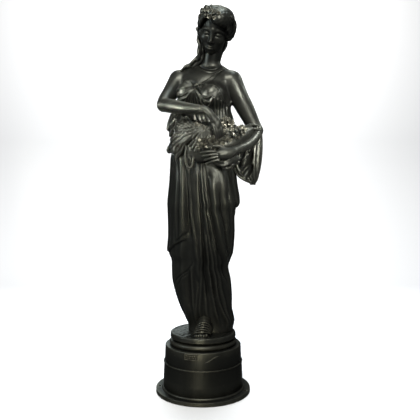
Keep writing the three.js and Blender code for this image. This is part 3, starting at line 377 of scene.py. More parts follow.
def bronzed_iron(name, deep, worn_and_highlit, shine, grain, wear_and_highlight):
    """Satin bronze paint over sand-cast iron; deep is its own colour. The second colour lightens raised
    edges, partly from rubbing and partly as a painted highlight, and the creases get a near-black painted
    shade.
    """
    material = bpy.data.materials.new(name)
    material.use_nodes = True
    tree = material.node_tree
    shader = tree.nodes["Principled BSDF"]
    shader.inputs["Metallic"].default_value = 0.8
    shader.inputs["Specular IOR Level"].default_value = 0.3
    shader.inputs["Specular Tint"].default_value = (0.4, 0.4, 0.38, 1)

    place = node(tree, "ShaderNodeTexCoord").outputs["Object"]
    # Unevenness of about 40 mm from the pattern maker's hand, and grain of about 1.5 mm from the sand.
    broad = node(tree, "ShaderNodeTexNoise", [("Vector", place)], in_Scale=26.0, in_Detail=3.0)
    sand = node(tree, "ShaderNodeTexNoise", [("Vector", place)], in_Scale=650.0, in_Detail=2.0)
    flecks = node(tree, "ShaderNodeTexNoise", [("Vector", place)], in_Scale=140.0, in_Detail=6.0)

    edge = node(tree, "ShaderNodeNewGeometry").outputs["Pointiness"]
    raised = node(tree, "ShaderNodeMapRange", [("Value", edge)], in_1=0.49, in_2=0.56, in_3=0.0, in_4=1.0)
    # Painted shade: the creases, where shade falls, are painted nearly black.
    hollow = node(tree, "ShaderNodeMapRange", [("Value", edge)], in_1=0.36, in_2=0.5, in_3=0.0, in_4=1.0)
    patch = node(
        tree, "ShaderNodeMath", [(0, raised.outputs[0]), (1, broad.outputs["Fac"])], operation="MULTIPLY"
    )
    # The raised edges are lightened, partly from rubbing and partly as a painted highlight on the ridges.
    wear_and_painted_highlight = node(tree, "ShaderNodeMath", [(0, patch.outputs[0])], operation="MULTIPLY", in_1=wear_and_highlight)
    painted_crease_shade = node(
        tree,
        "ShaderNodeMix",
        [("Factor", hollow.outputs[0])],
        data_type="RGBA",
        in_6=colour("#0b0b0b"),
        in_7=colour(deep),
    )
    paint = node(
        tree,
        "ShaderNodeMix",
        [("Factor", wear_and_painted_highlight.outputs[0]), (6, painted_crease_shade.outputs[2])],
        data_type="RGBA",
        in_7=colour(worn_and_highlit),
    )
    # A few pale specks of lime and dust that rain leaves behind.
    speck = node(tree, "ShaderNodeMapRange", [("Value", flecks.outputs["Fac"])], in_1=0.71, in_2=0.76)
    dusty = node(tree, "ShaderNodeMath", [(0, speck.outputs[0])], operation="MULTIPLY", in_1=0.35)
    final = node(
        tree,
        "ShaderNodeMix",
        [("Factor", dusty.outputs[0]), (6, paint.outputs[2])],
        data_type="RGBA",
        in_7=colour("#8a8776"),
    )
    tree.links.new(final.outputs[2], shader.inputs["Base Color"])

    gloss = node(
        tree, "ShaderNodeMapRange", [("Value", broad.outputs["Fac"])], in_1=0.3, in_2=0.7,
            in_3=shine - 0.05, in_4=shine + 0.07
    )
    tree.links.new(gloss.outputs[0], shader.inputs["Roughness"])
    waves = node(tree, "ShaderNodeBump", [("Height", broad.outputs["Fac"])], in_Strength=0.25,
        in_Distance=0.004)
    rough = node(
        tree,
        "ShaderNodeBump",
        [("Height", sand.outputs["Fac"]), ("Normal", waves.outputs[0])],
        in_Strength=grain,
        in_Distance=0.0006,
    )
    tree.links.new(rough.outputs[0], shader.inputs["Normal"])
    return material


figure_iron = bronzed_iron("FigureBronzePaintOnIron", "#2d2e2b", "#66665b", 0.37, 0.35, 0.7)
plinth_iron = bronzed_iron("PlinthBronzePaintOnIron", "#2a2b28", "#6a695c", 0.4, 0.3, 0.8)
# Petals and curls are painted darker, with near-black painted shade between them, and their tips are
# lightened the most, partly from rubbing and partly as a painted highlight.
carved_iron = bronzed_iron("CarvedBronzePaintOnIron", "#232421", "#7a786b", 0.35, 0.3, 1.0)
# The darkest paint: painted shade on the bed of stalks under the flowers, and the dark field of the founder's
# plate.
darkest_paint_and_shade = bronzed_iron("DarkestPaintAndPaintedShade", "#131412", "#55544a", 0.42, 0.4, 0.5)
print("materials:", figure_iron.name, plinth_iron.name, carved_iron.name, darkest_paint_and_shade.name)

# %% [markdown]
# ## The skirt
# The dress falls from the hips to the ground over one straight leg and one bent one, so the cloth hangs in
# pipes on her right and is pulled tight over her left thigh. At each height the skirt is an oval, read off
# as its left, right, front and back edge, and the folds are ridges and furrows drawn on it.

# %% Oval rows
SKIRT_ROWS = [
    (-8, -62, 121, -50, 84), (18, -68, 128, -56, 88), (40, -75, 130, -60, 90), (64, -83, 125, -66, 93),
    (90, -94, 120, -72, 96), (134, -110, 120, -80, 100), (169, -119, 118, -86, 103),
    (204, -126, 114, -92, 106), (252, -128, 105, -101, 110), (280, -129, 113, -106, 111),
    (308, -139, 123, -110, 112), (378, -135, 129, -118, 114), (474, -136, 130, -126, 114),
    (504, -137, 142, -128, 114), (587, -129, 131, -128, 112), (640, -126, 126, -124, 110),
    (700, -122, 118, -116, 106), (762, -108, 104, -100, 98), (812, -96, 92, -84, 88),
]


def smooth_table(positions, values):
    """A smooth function through values at rising positions."""
    positions, values = np.array(positions, float), np.array(values, float)
    slopes = np.gradient(values, positions)
    slopes[1:-1] = (values[2:] - values[:-2]) / (positions[2:] - positions[:-2])
    fine = np.arange(positions[0], positions[-1] + 1, 2.0)
    i = np.clip(np.searchsorted(positions, fine, side="right") - 1, 0, len(positions) - 2)
    span = positions[i + 1] - positions[i]
    t = np.clip((fine - positions[i]) / span, 0, 1)
    curve = (
        (2 * t**3 - 3 * t**2 + 1) * values[i]
        + (t**3 - 2 * t**2 + t) * span * slopes[i]
        + (3 * t**2 - 2 * t**3) * values[i + 1]
        + (t**3 - t**2) * span * slopes[i + 1]
    )
    return lambda z: np.interp(z, fine, curve)


class Trunk:
    """A body with an oval section at each height."""

    def __init__(self, rows, squareness):
        heights = [row[0] for row in rows]
        self.left, self.right, self.front, self.back = (
            smooth_table(heights, [row[c] for row in rows]) for c in (1, 2, 3, 4)
        )
        self.bottom, self.top = heights[0], heights[-1]
        self.squareness = squareness

    def oval(self, z):
        """The middle and the half axes of the oval at height z."""
        left, right, front, back = self.left(z), self.right(z), self.front(z), self.back(z)
        return (left + right) / 2, (front + back) / 2, (right - left) / 2, (back - front) / 2

    def at(self, x, y, z):
        cx, cy, a, b = self.oval(z)
        n = self.squareness
        k = (np.abs((x - cx) / a) ** n + np.abs((y - cy) / b) ** n) ** (1 / n)
        side = np.sqrt((x - cx) ** 2 + (y - cy) ** 2) * (1 - 1 / np.maximum(k, 1e-3))
        side = np.where(k < 0.02, -np.minimum(a, b), side)
        return np.maximum(side, np.maximum(self.bottom - z, z - self.top)).astype(np.float32)

    def around(self, x, y, z):
        """The angle from the front in degrees, positive towards her left."""
        cx, cy, a, b = self.oval(z)
        return np.degrees(np.arctan2((x - cx) / a, -(y - cy) / b))

    def angle_at(self, x, z):
        """The angle on the front of the oval at a sideways position."""
        cx, _, a, _ = self.oval(z)
        return np.degrees(np.arcsin(np.clip((x - cx) / a, -1, 1)))


skirt_oval = Trunk(SKIRT_ROWS, 2.2)
print("skirt is", round(float(skirt_oval.right(504) - skirt_oval.left(504))), "mm wide at the knee")

# %% [markdown]
# Each fold is a line of height and sideways position in millimetres, with half its width and its rise; a
# furrow has a rise below zero. Ridges that meet share a sharp valley, so their heights are added as cubes,
# which lets the taller one win instead of piling up.

# %% Folds seen from the front
FRONT_FOLDS = [
    (10, 5, [(643, -97), (573, -98), (518, -100), (451, -102), (387, -106), (331, -108)]),
    (13, 7, [(700, -80), (666, -76), (592, -75), (518, -75), (444, -75), (369, -78), (285, -79), (216, -81)]),
    (14, 6, [(231, -81), (177, -80), (126, -75), (66, -64)]),
    (9, 8, [(666, -58), (584, -54), (511, -50), (425, -41), (361, -30), (293, -19), (227, -14)]),
    (22, 5, [(647, -36), (555, -32), (481, -26), (406, -21), (338, -17)]),
    (7, 7, [(660, -21), (573, -19), (518, -15), (462, -10), (387, -7), (312, -6), (235, -6), (177, -8),
    (70, -12)]),
    (7, 10, [(680, -8), (592, -2), (536, 1), (488, 8), (444, 14), (399, 20), (346, 29), (293, 38), (235, 46),
             (177, 54), (130, 63), (86, 78), (30, 102)]),
    (6, 6, [(660, 3), (584, 13), (536, 19), (481, 25), (425, 35), (369, 46), (312, 55)]),
    (6, 8, [(399, 9), (308, 20), (247, 27), (177, 35), (118, 46), (50, 62)]),
    (20, 10, [(590, 36), (555, 38), (488, 46), (436, 55), (384, 66), (331, 78), (285, 89), (235, 100),
              (177, 106), (100, 108)]),
    (12, 4, [(600, 78), (573, 83), (518, 90), (462, 98), (414, 105)]),
    (11, 6, [(590, 100), (562, 103), (507, 110), (451, 114), (369, 116), (312, 109)]),
    (9, 8, [(357, 38), (285, 52), (227, 63), (169, 74), (114, 88), (40, 108)]),
    (6, 5, [(247, -46), (177, -42), (118, -40), (50, -31)]),
    (7, 5, [(208, 7), (138, 12), (60, 18)]),
    (7, 5, [(190, -20), (130, -26), (60, -30)]),
    (6, -7, [(592, -12), (518, -10), (462, -6), (406, -2), (350, 1)]),
    (8, -10, [(600, 20), (507, 29), (444, 40), (384, 53), (323, 68), (270, 83), (208, 97)]),
    (8, -6, [(530, 70), (499, 75), (436, 87), (369, 98), (308, 104)]),
    (8, -8, [(636, -63), (555, -60), (492, -58), (436, -54), (384, -50)]),
    (7, -7, [(346, 5), (285, 11), (216, 14), (149, 20)]),
    (5, -5, [(293, 29), (216, 39), (149, 48)]),
    (7, -6, [(243, -55), (177, -57), (110, -54)]),
    (6, -4, [(643, -90), (518, -88), (384, -90)]),
    (3, -4, [(274, -44), (253, -59), (239, -74), (225, -93), (212, -108), (200, -115)]),
    (3, -3, [(258, -51), (235, -66), (220, -85), (196, -100), (185, -108)]),
]

# Folds on the sides and the back hang straight: angle from the front, half width, rise, top and foot.
SIDE_FOLDS = [
    (-86, 11, 7, 700, 60), (-106, 13, 9, 720, 30), (88, 10, 7, 640, 20), (104, 12, 8, 700, 20),
    (96, 6, 5, 460, 10), (-97, 6, 5, 640, 340),
]
BACK_FOLDS = 11
for i in range(BACK_FOLDS):
    angle = 118 + 124 * i / (BACK_FOLDS - 1)
    angle += 4 * math.sin(2.7 * i)
    SIDE_FOLDS.append((angle, 8 + 3 * (i % 3), 6 + 3 * ((i + 1) % 3), 780 - 130 * (i % 2), 40 * (i % 3)))
print(len(FRONT_FOLDS), "folds in front,", len(SIDE_FOLDS), "at the sides and back")

# %% [markdown]
# A fold leans as it falls, so its width is measured across the leaning line and not level. It fades out at
# both ends, because cloth has no fold that starts at once.

# %% Heights of the folds


def fold_height(angle, z):
    """How far the folds stand out, for points given by angle and height."""
    width = np.radians(1) * (skirt_oval.right(z) - skirt_oval.left(z)) / 2
    ridge = np.zeros_like(z)
    furrow = np.zeros_like(z)
    lines = []
    for half, rise, path in FRONT_FOLDS:
        heights = np.array([p[0] for p in path][::-1], float)
        angles = skirt_oval.angle_at(np.array([p[1] for p in path][::-1], float), heights)
        lines.append((half, rise, heights[-1], heights[0], smooth_table(heights, angles)))
    for angle_at, half, rise, top, foot in SIDE_FOLDS:
        heights = np.arange(foot - 60, top + 61, 20.0)
        swayed = angle_at + 3 * np.sin(heights / 95 + angle_at)
        lines.append((half, rise, top, foot, smooth_table(heights, swayed)))
    for half, rise, top, foot, line in lines:
        band = np.nonzero((z > foot - 35) & (z < top + 35))[0]
        height = z[band]
        centre = line(height)
        lean = (line(height + 6) - line(height - 6)) * width[band] / 12
        turn = (angle[band] - centre + 540) % 360 - 180
        away = np.abs(turn) * width[band] / np.sqrt(1 + lean * lean) / half
        ends = smoothstep(height, foot - 35, foot + 25) * (1 - smoothstep(height, top - 35, top + 35))
        stroke = rise * ends * np.exp(-(away**1.8))
        if rise > 0:
            ridge[band] += stroke**3
        else:
            furrow[band] = np.minimum(furrow[band], stroke)
    return np.cbrt(ridge) + furrow


# %% [markdown]
# The overdress is a second layer of cloth that ends in a zigzag hem, as a hem does where its pleats fold
# back on themselves. It is drawn as a step of 8 mm at the hem line, which wanders with the angle.

# %% Hem of the overdress
LOWER_HEM = smooth_table(
    [-180, -150, -128, -104, -88, -74, -66, -50, -42, 0, 60, 78, 100, 126, 150, 180],
    [352, 300, 345, 306, 312, 326, 331, 347, 356, 400, 520, 490, 470, 380, 404, 352],
)
UPPER_HEM = smooth_table([-52, -44, -36, -28, -22], [362, 369, 380, 394, 400])


def skirt_height(x, y, z):
    """The folds with the two hems of the overdress on top."""
    angle = skirt_oval.around(x, y, z)
    lower = smoothstep(z, LOWER_HEM(angle) - 3, LOWER_HEM(angle) + 2)
    lower = lower * (1 - smoothstep(angle, -34, -26) * (1 - smoothstep(angle, 64, 72)))
    upper = smoothstep(z, UPPER_HEM(angle) - 3, UPPER_HEM(angle) + 2)
    upper = upper * smoothstep(angle, -50, -44) * (1 - smoothstep(angle, -30, -23))
    quiet = smoothstep(z, -30, 30)
    return (fold_height(angle, z) + 7 * lower + 5 * upper - 12) * quiet


# %% [markdown]
# The oval, the folds and the hems come together in one block. The thigh is an egg melted in with a wide
# blend, and the hem is cut open over the foot.

# %% Skirt
skirt_clay = Clay((-150, -150, -6), (152, 132, 812), 3.15)
skirt_clay.add(Form((-160, -160, -20), (160, 140, 830), skirt_oval.at), 3)
skirt_clay.add(ellipsoid((46, -84, 600), (56, 42, 92), (0, -8, 0)), 18)
skirt_clay.relief((-160, -160, -20), (160, 140, 830), skirt_height, 34)
skirt_clay.cut(ellipsoid((6, -76, 12), (42, 44, 46)), 6)
make_piece("Skirt", *skin(skirt_clay), figure_iron)

# %% [markdown]
# ## Bodice, shoulders and arms
# Under the dress is a body: ribs, shoulders and breasts are eggs melted together with a wide blend, as a
# sculptor blocks out a torso. The chest is turned towards her right, against the hips. The thin cloth is
# then a shallow step at the neckline, with gathers running from the bow between the breasts.

# %% Chest
CHEST = (8, 4, 905)
CHEST_TURN = math.radians(16)


def on_chest(side, forward, height):
    """A point given sideways and forwards from the middle of the turned chest."""
    return (
        CHEST[0] + side * math.cos(CHEST_TURN) - forward * math.sin(CHEST_TURN),
        CHEST[1] - side * math.sin(CHEST_TURN) - forward * math.cos(CHEST_TURN),
        height,
    )


bow = on_chest(-2, 104, 938)
breast_right = on_chest(-46, 66, 919)
breast_left = on_chest(48, 70, 908)
shoulder_right = (-96, 34, 984)
shoulder_left = (112, -14, 971)

torso = Clay((-184, -206, 664), (246, 112, 1094), 2.45)
for part in (
    ellipsoid((2, -2, 815), (88, 72, 90)),
    ellipsoid(CHEST, (100, 78, 114), (0, 0, -16)),
    ellipsoid((12, 6, 968), (108, 54, 44), (0, 0, -16)),
    ellipsoid(breast_right, (42, 42, 41)),
    ellipsoid(breast_left, (43, 43, 42)),
    tube([(36, 12, 1034, 24), (-30, 22, 1010, 27), (*shoulder_right, 30)]),
    tube([(34, 4, 1034, 24), (70, -4, 1004, 26), (*shoulder_left, 30)]),
    ellipsoid(on_chest(0, -46, 950), (70, 34, 62)),
):
    torso.add(part, 26)
print("chest turned", round(math.degrees(CHEST_TURN)), "degrees")

# %% [markdown]
# Thin cloth drawn to a bow makes narrow ridges that fan out from it. They are drawn as lines seen from the
# front, each with half its width and its rise, and fade where the chest turns away.

# %% Gathers and edges of the bodice, as lines seen from the front
NECKLINE = smooth_table(
    [-120, -92, -77, -58, -43, -30, 0, 38, 53, 66, 78, 100],
    [930, 956, 967, 964, 952, 940, 943, 942, 930, 913, 890, 868],
)
RIMS = [
    (2.6, 3.2, [(-96, 952), (-77, 969), (-58, 966), (-43, 954), (-34, 945)]),
    (2.4, 2.4, [(-66, 962), (-49, 950), (-38, 944)]),
    (2.4, 3.4, [(-14, 943), (1, 945), (20, 946), (38, 943), (53, 932), (66, 915), (79, 890), (86, 868)]),
    (2.2, 2.2, [(35, 935), (50, 925), (61, 909), (71, 890)]),
]
GATHERS = [
    (4.0, 4.5, [(-36, 928), (-55, 904), (-70, 876)]), (3.4, 4.5, [(-35, 926), (-50, 902), (-58, 872)]),
    (3.4, 4.5, [(-34, 926), (-44, 898), (-47, 868)]), (3.2, 4.5, [(-33, 926), (-39, 898), (-37, 866)]),
    (3.2, 4.5, [(-31, 926), (-31, 898), (-27, 866)]), (3.4, 4.5, [(-29, 928), (-24, 902), (-16, 868)]),
    (3.6, 4.5, [(-28, 930), (-16, 905), (-3, 868)]), (3.6, 4.0, [(-26, 930), (-10, 907), (9, 872)]),
    (7.0, 4.0, [(-40, 942), (-66, 938), (-94, 932)]), (4.0, 3.6, [(-44, 926), (-62, 912), (-82, 905),
    (-98, 911)]),
    (3.6, 3.6, [(-45, 916), (-62, 898), (-82, 892), (-98, 895)]),
    (3.4, 3.6, [(-20, 926), (-14, 910), (-1, 899), (16, 893), (32, 899)]),
    (3.4, 3.2, [(-17, 914), (-9, 895), (6, 882), (24, 877), (40, 885)]),
    (4.0, 4.0, [(38, 893), (32, 878), (22, 864)]), (4.5, 4.5, [(45, 890), (46, 852), (47, 806)]),
    (4.5, 4.5, [(57, 886), (58, 850), (60, 806)]), (4.5, 4.0, [(69, 882), (70, 844), (72, 806)]),
    (5.0, 4.0, [(81, 872), (82, 840), (83, 806)]), (5.0, 3.5, [(93, 868), (95, 838), (95, 806)]),
    (4.0, 4.0, [(-62, 838), (-50, 818), (-37, 796)]), (4.0, 4.0, [(-28, 832), (-21, 810), (-10, 792)]),
    (4.0, 4.0, [(-12, 832), (-2, 811), (9, 792)]), (4.0, 4.0, [(2, 832), (12, 809), (22, 794)]),
    (4.0, 3.5, [(-80, 836), (-70, 818), (-64, 800)]),
]


def line_height(x, z, lines, sharp=2.0):
    """The height of a set of drawn ridges at points seen from the front."""
    total = np.zeros_like(x)
    for half, rise, path in lines:
        line = smooth_line(path, 3)
        low, high = line.min(axis=0) - 2.5 * half, line.max(axis=0) + 2.5 * half
        near = np.nonzero((x > low[0]) & (x < high[0]) & (z > low[1]) & (z < high[1]))[0]
        away = np.full(len(near), 1e3)
        for a, b in zip(line, line[1:]):
            bx, bz = b - a
            dx, dz = x[near] - a[0], z[near] - a[1]
            t = np.clip((dx * bx + dz * bz) / (bx * bx + bz * bz), 0, 1)
            away = np.minimum(away, np.hypot(dx - t * bx, dz - t * bz))
        total[near] += (rise * np.exp(-((away / half) ** sharp))) ** 3
    return np.cbrt(total)


BLOUSE_DEPTH = 22
BACK_NECKLINE = 935


def bodice_height(x, y, z):
    """The cloth's step at the neckline, its gathers in front and its pleats behind."""
    facing = smoothstep(-y, 0, 45)
    edge = BACK_NECKLINE + (NECKLINE(x) - BACK_NECKLINE) * facing
    cloth = 3.5 * (1 - smoothstep(z, edge - 2.5, edge + 2.5))
    rolled = 2.5 * np.exp(-(((z - edge + 4) / 3.5) ** 2)) * (1 - facing)
    drawn = 1.35 * line_height(x, z, RIMS + GATHERS) * facing
    puff = BLOUSE_DEPTH * smoothstep(-z, -872, -806) * smoothstep(z, 780, 800)
    around = np.degrees(np.arctan2(x - 4, -(y + 2)))
    pleats = np.abs(np.sin(np.radians(around * 11 + 6 * np.sin(z / 23)))) ** 0.7
    pleats = 4.5 * pleats * (1 - smoothstep(z, 850, 905)) * (1 - smoothstep(-y, 20, 60))
    return cloth + rolled + drawn + puff + pleats


torso.relief((-184, -206, 690), (134, 112, 1010), bodice_height, 36)
print(len(GATHERS), "gathers on the bodice")

# %% [markdown]
# The arms are round limbs: a line of points with a radius at each. Her right arm bends across the waist and
# its hand reaches into the flowers. Her left arm hangs, and its forearm comes forward to hold the cloth.
# They are added after the cloth's relief, so that the skin stays smooth.

# %% Arms
right_elbow = (-147, -56, 874)
right_wrist = (10, -170, 842)
left_elbow = (208, 10, 782)
left_wrist = (118, -144, 699)
neck_line = [(23, 20, 986, 38), (29, 14, 1024, 35), (35, 5, 1062, 34.6), (40, -1, 1092, 34)]

torso.add(tube(neck_line), 5)
torso.add(
    tube([(*shoulder_right, 37), (-122, 4, 934, 32), (-143, -34, 894, 28), (*right_elbow, 26.5)], 5), 12
)
torso.add(
    tube([(*right_elbow, 26.5), (-112, -92, 864, 26), (-66, -128, 854, 21.5), (-26, -152, 848, 17),
          (*right_wrist, 14.5)], 5), 6
)
torso.add(
    tube([(*shoulder_left, 39), (138, -12, 912, 36.5), (167, 0, 860, 34), (192, 8, 812, 29),
        (*left_elbow, 26)], 5),
    12,
)
torso.add(
    tube([(*left_elbow, 26), (188, -34, 746, 25.5), (158, -88, 719, 21), (*left_wrist, 15.5)], 5), 6
)


def neck_rim(x, y, z):
    """The raised rim at the foot of the neck and the crease above it."""
    rim = z - 1000 - 14 * np.clip((x - 31) / 39, -1.3, 1.3) ** 2
    front = smoothstep(-y, -8, 8) * smoothstep(48 - np.abs(x - 31), 0, 12)
    return front * (2.6 * np.exp(-((rim / 3) ** 2)) - 6 * np.exp(-(((rim - 13) / 7.5) ** 2)))


torso.relief((-24, -90, 970), (88, 20, 1056), neck_rim, 30)
strap = tube([(-14, -112, 944, 2.4), (16, -96, 962, 2.4), (52, -66, 992, 2.4), (84, -24, 1014, 2.4),
    (92, 10, 1012, 2.4)])
torso.add(strap, 2)
torso.add(ellipsoid((bow[0] - 1, bow[1] - 9, bow[2] + 3), (11, 7, 6), (0, -32, 0)), 3)
torso.add(tube([(-16, -122, 940, 3), (-8, -125, 943, 3.2), (-3, -121, 938, 3), (-8, -120, 931, 3),
    (-15, -120, 935, 3)]), 2)
for lobe in (
    ellipsoid((-19, -120, 793), (12, 8, 7), (0, 20, 0)),
    ellipsoid((13, -124, 791), (12, 8, 8), (0, -25, 0)),
    ellipsoid((-77, -96, 812), (8, 7, 7)),
    ellipsoid((-64, -102, 820), (9, 6, 5), (0, 30, 0)),
):
    torso.add(lobe, 3)
make_piece("BodiceAndArms", *skin(torso), figure_iron)

# %% [markdown]
# ## Cloth round the hips
# The overdress is caught up over a belt, so it hangs in thick swags from her right hip to the flowers. A
# swag is a set of rolls that start and end together. Each band here is made from two edge lines, with
# rolls spaced between them.

# %% Bands of rolls


def band(first, last, count):
    """Rolls of cloth spaced evenly between two edge lines of the same number of knots."""
    first, last = np.array(first, float), np.array(last, float)
    shares = np.linspace(0, 1, count)
    return [tube(first * (1 - s) + last * s, 4) for s in shares]


hips = Clay((-152, -196, 616), (200, 30, 850), 2.0)
hips.add(ellipsoid((-50, -88, 780), (58, 44, 36)), 8)
hips.add(ellipsoid((26, -102, 764), (56, 42, 44)), 10)
hips.add(ellipsoid((-60, -70, 736), (58, 46, 40)), 12)
for roll in (
    tube([(-112, 6, 838, 17), (-120, 0, 808, 19), (-133, -6, 788, 9)]),
    tube([(-110, 8, 800, 16), (-124, -4, 771, 9)]),
    tube([(-104, -30, 820, 10), (-116, -28, 800, 9), (-120, -24, 782, 6)]),
):
    hips.add(roll, 6)

main_swag = band(
    [(12, -148, 780, 5), (-17, -146, 780, 6), (-45, -138, 775, 7), (-69, -124, 768, 8),
    (-94, -106, 752, 8), (-113, -80, 734, 8), (-124, -44, 722, 7)],
    [(9, -151, 766, 4), (-17, -149, 762, 5), (-42, -142, 752, 6), (-64, -131, 744, 7),
    (-90, -112, 722, 8), (-108, -88, 704, 8), (-120, -52, 698, 7)],
    3,
)
for roll in main_swag:
    hips.add(roll, 3)
pointed_swag = band(
    [(4, -151, 761, 4), (-24, -147, 750, 5), (-50, -139, 742, 5), (-70, -129, 730, 6),
    (-82, -119, 712, 7), (-88, -110, 692, 7), (-94, -101, 676, 6)],
    [(6, -151, 755, 3), (-22, -147, 744, 3), (-46, -141, 736, 3), (-62, -133, 724, 4),
    (-72, -124, 706, 5), (-80, -115, 690, 6), (-92, -103, 678, 6)],
    2,
)
for roll in pointed_swag:
    hips.add(roll, 3)
for roll in (
    ellipsoid((-100, -90, 704), (15, 20, 25)),
    tube([(-94, -101, 678, 6), (-104, -92, 692, 8), (-112, -82, 712, 8)]),
    tube([(-46, -140, 742, 5), (-58, -134, 734, 7), (-66, -128, 722, 6), (-70, -124, 712, 3)]),
    tube([(-130, -34, 716, 6), (-134, -36, 704, 6), (-128, -44, 696, 6), (-122, -40, 704, 4)]),
    tube([(-118, -60, 742, 8), (-104, -90, 756, 7), (-84, -110, 776, 6), (-56, -124, 788, 5)]),
    tube([(-122, -44, 760, 8), (-112, -72, 776, 7), (-92, -96, 792, 6)]),
):
    hips.add(roll, 4)


def hammered(x, y, z):
    """Small dents, about 9 mm apart, where the cloth is bunched."""
    dents = np.sin(x / 2.9 + 1.7 * np.sin(z / 7)) * np.sin(z / 2.6 + 1.3 * np.sin(x / 8))
    return 1.5 * dents * smoothstep(z, 752, 770)


hips.relief((-112, -190, 748), (-18, 20, 824), hammered, 8)
print(len(main_swag) + len(pointed_swag), "rolls in the two swags")

# %% [markdown]
# Where her right hand lifts the cloth, gathers spread from one point to the hips, and the end of the belt
# hangs down as a rounded tongue with a rolled edge.

# %% Gathers below the flowers, and the hanging tongue
gather_point = np.array((17, -151, 771, 4.5))
GATHER_ENDS = [
    (-46, -140, 716, 5), (-36, -143, 706, 5), (-25, -144, 698, 5), (-12, -146, 700, 5), (2, -148, 706, 4.5),
    (18, -151, 712, 4.5), (34, -152, 722, 4.5), (48, -152, 732, 4), (60, -150, 740, 4),
]
for end in GATHER_ENDS:
    end = np.array(end, float)
    middle = gather_point * 0.45 + end * 0.55 + (0, -3, 4, 0.8)
    hips.add(tube([gather_point, middle, end], 3), 3)
hips.add(ellipsoid((-8, -128, 700), (50, 18, 46)), 6)
for x, z, sag in ((-34, 744, 6), (-22, 733, 8), (-8, 726, 9), (8, 728, 10), (24, 736, 10), (38, 748, 8)):
    middle = ((x + 10) / 2 - 4, -153, (z + 776) / 2 + sag * 0.6)
    hips.add(tube([(10, -149, 777, 3), (*middle, 4.4), (x, -151, z, 4.2), (x + 7, -149, z - 7, 2.5)], 4), 1.5)
hips.add(ellipsoid((-47, -131, 670), (13, 6, 36)), 2)
hips.add(
    tube([(-60, -132, 712, 4), (-63, -136, 680, 4.2), (-60, -138, 652, 4.2), (-54, -139, 638, 4.4),
          (-47, -139, 634, 4.6), (-40, -139, 640, 4.4), (-35, -138, 656, 4.2), (-32, -137, 684, 4),
          (-36, -136, 708, 4)], 4), 1.5
)
hips.add(tube([(-50, -137, 672, 2.5), (-44, -137, 664, 3), (-46, -137, 652, 2.5)], 3), 2)

pouch_line = [(6, -128, 714, 20), (56, -130, 716, 30), (104, -112, 732, 36), (146, -78, 762, 30),
    (176, -44, 780, 18)]
hips.add(tube(pouch_line), 8)
for roll in (
    tube([(50, -150, 650, 6), (72, -152, 644, 7), (96, -146, 652, 7), (122, -126, 676, 6)]),
    tube([(56, -150, 660, 5), (80, -152, 656, 6), (104, -142, 668, 6), (128, -120, 690, 5)]),
    tube([(74, -148, 636, 5), (94, -140, 634, 6), (116, -126, 650, 6), (136, -104, 672, 5)]),
    tube([(88, -148, 664, 4), (100, -148, 674, 5), (112, -140, 684, 4)], 3),
    ellipsoid((88, -118, 668), (48, 30, 26)),
):
    hips.add(roll, 4)
make_piece("HipSwagsAndPouch", *skin(hips), figure_iron)

# %% [markdown]
# ## The cloth that hangs from her left arm
# The end of the overdress is thrown over the forearm and hangs from the elbow as a pointed bag, open in
# front, with pleats down its back. It is an oval trunk that tapers to a point and is hollowed from the front.

# %% Hanging bag
BAG_ROWS = [
    (575, 187, 200, -12, 2), (590, 165, 208, -22, 10), (609, 139, 213, -30, 16), (640, 124, 220, -38, 22),
    (690, 128, 226, -40, 24), (740, 160, 228, -34, 30), (790, 190, 224, -20, 30),
]
bag_oval = Trunk(BAG_ROWS, 2.0)
arm_cloth = Clay((106, -108, 560), (244, 60, 824), 1.9)
arm_cloth.add(Form((110, -60, 556), (244, 50, 800), bag_oval.at), 3)


def bag_height(x, y, z):
    """Pleats down the outside of the bag."""
    angle = bag_oval.around(x, y, z)
    pleats = np.abs(np.cos(np.radians((angle + (z - 640) * 0.12) * 6.5))) ** 0.8
    return 5.5 * pleats


arm_cloth.relief((106, -108, 556), (244, 60, 800), bag_height, 24)
arm_cloth.cut(ellipsoid((160, -46, 668), (29, 30, 52), (0, 18, 0)), 5)
arm_cloth.cut(ellipsoid((172, -40, 620), (16, 24, 34), (0, 28, 0)), 5)
for roll in (
    tube([(122, -34, 632, 3.5), (136, -38, 606, 4.5), (160, -34, 590, 5), (184, -18, 580, 5)], 4),
    tube([(184, -18, 582, 4), (200, -22, 606, 4), (208, -26, 650, 4), (210, -28, 700, 4),
        (206, -26, 744, 4)], 4),
    tube([(190, -22, 600, 3), (196, -30, 650, 3.5), (196, -34, 700, 3.5), (190, -36, 736, 3)], 4),
    tube([(172, -30, 716, 3.5), (166, -40, 690, 4), (158, -44, 668, 4)], 3),
    tube([(148, -40, 712, 3.5), (140, -50, 690, 4), (134, -54, 668, 3.5)], 3),
    tube([(150, -58, 780, 5), (168, -48, 794, 6), (190, -34, 801, 6), (210, -14, 798, 6), (224, 8, 784, 5)]),
    tube([(156, -64, 772, 5), (178, -52, 782, 6), (202, -34, 784, 6), (222, -8, 774, 6)]),
    tube([(160, -70, 762, 5), (178, -62, 766, 5), (188, -50, 756, 5), (206, -38, 764, 5),
        (220, -18, 756, 6)]),
    tube([(168, -66, 750, 4), (186, -54, 742, 5), (208, -34, 748, 5)]),
    ellipsoid((212, 16, 762), (18, 22, 34)),
):
    arm_cloth.add(roll, 3)
for bud in (
    ellipsoid((156, -48, 656), (10, 11, 16), (0, 20, 0)), ellipsoid((160, -53, 664), (6, 6, 9), (0, -10, 0)),
    ellipsoid((133, -56, 658), (7, 8, 11), (0, 40, 0)), ellipsoid((177, -34, 704), (5, 6, 7)),
    ellipsoid((170, -38, 686), (4, 5, 9), (0, 30, 0)),
):
    arm_cloth.add(bud, 2)
make_piece("SleeveAndHangingBag", *skin(arm_cloth), figure_iron)

# %% [markdown]
# ## Hands
# Small parts need a finer grid: a finger is 12 mm thick, so its samples are 1.4 mm apart. The fingers run
# from a row of knuckles to a row of tips and bend a little in between, with the thumb laid across.

# %% Hands


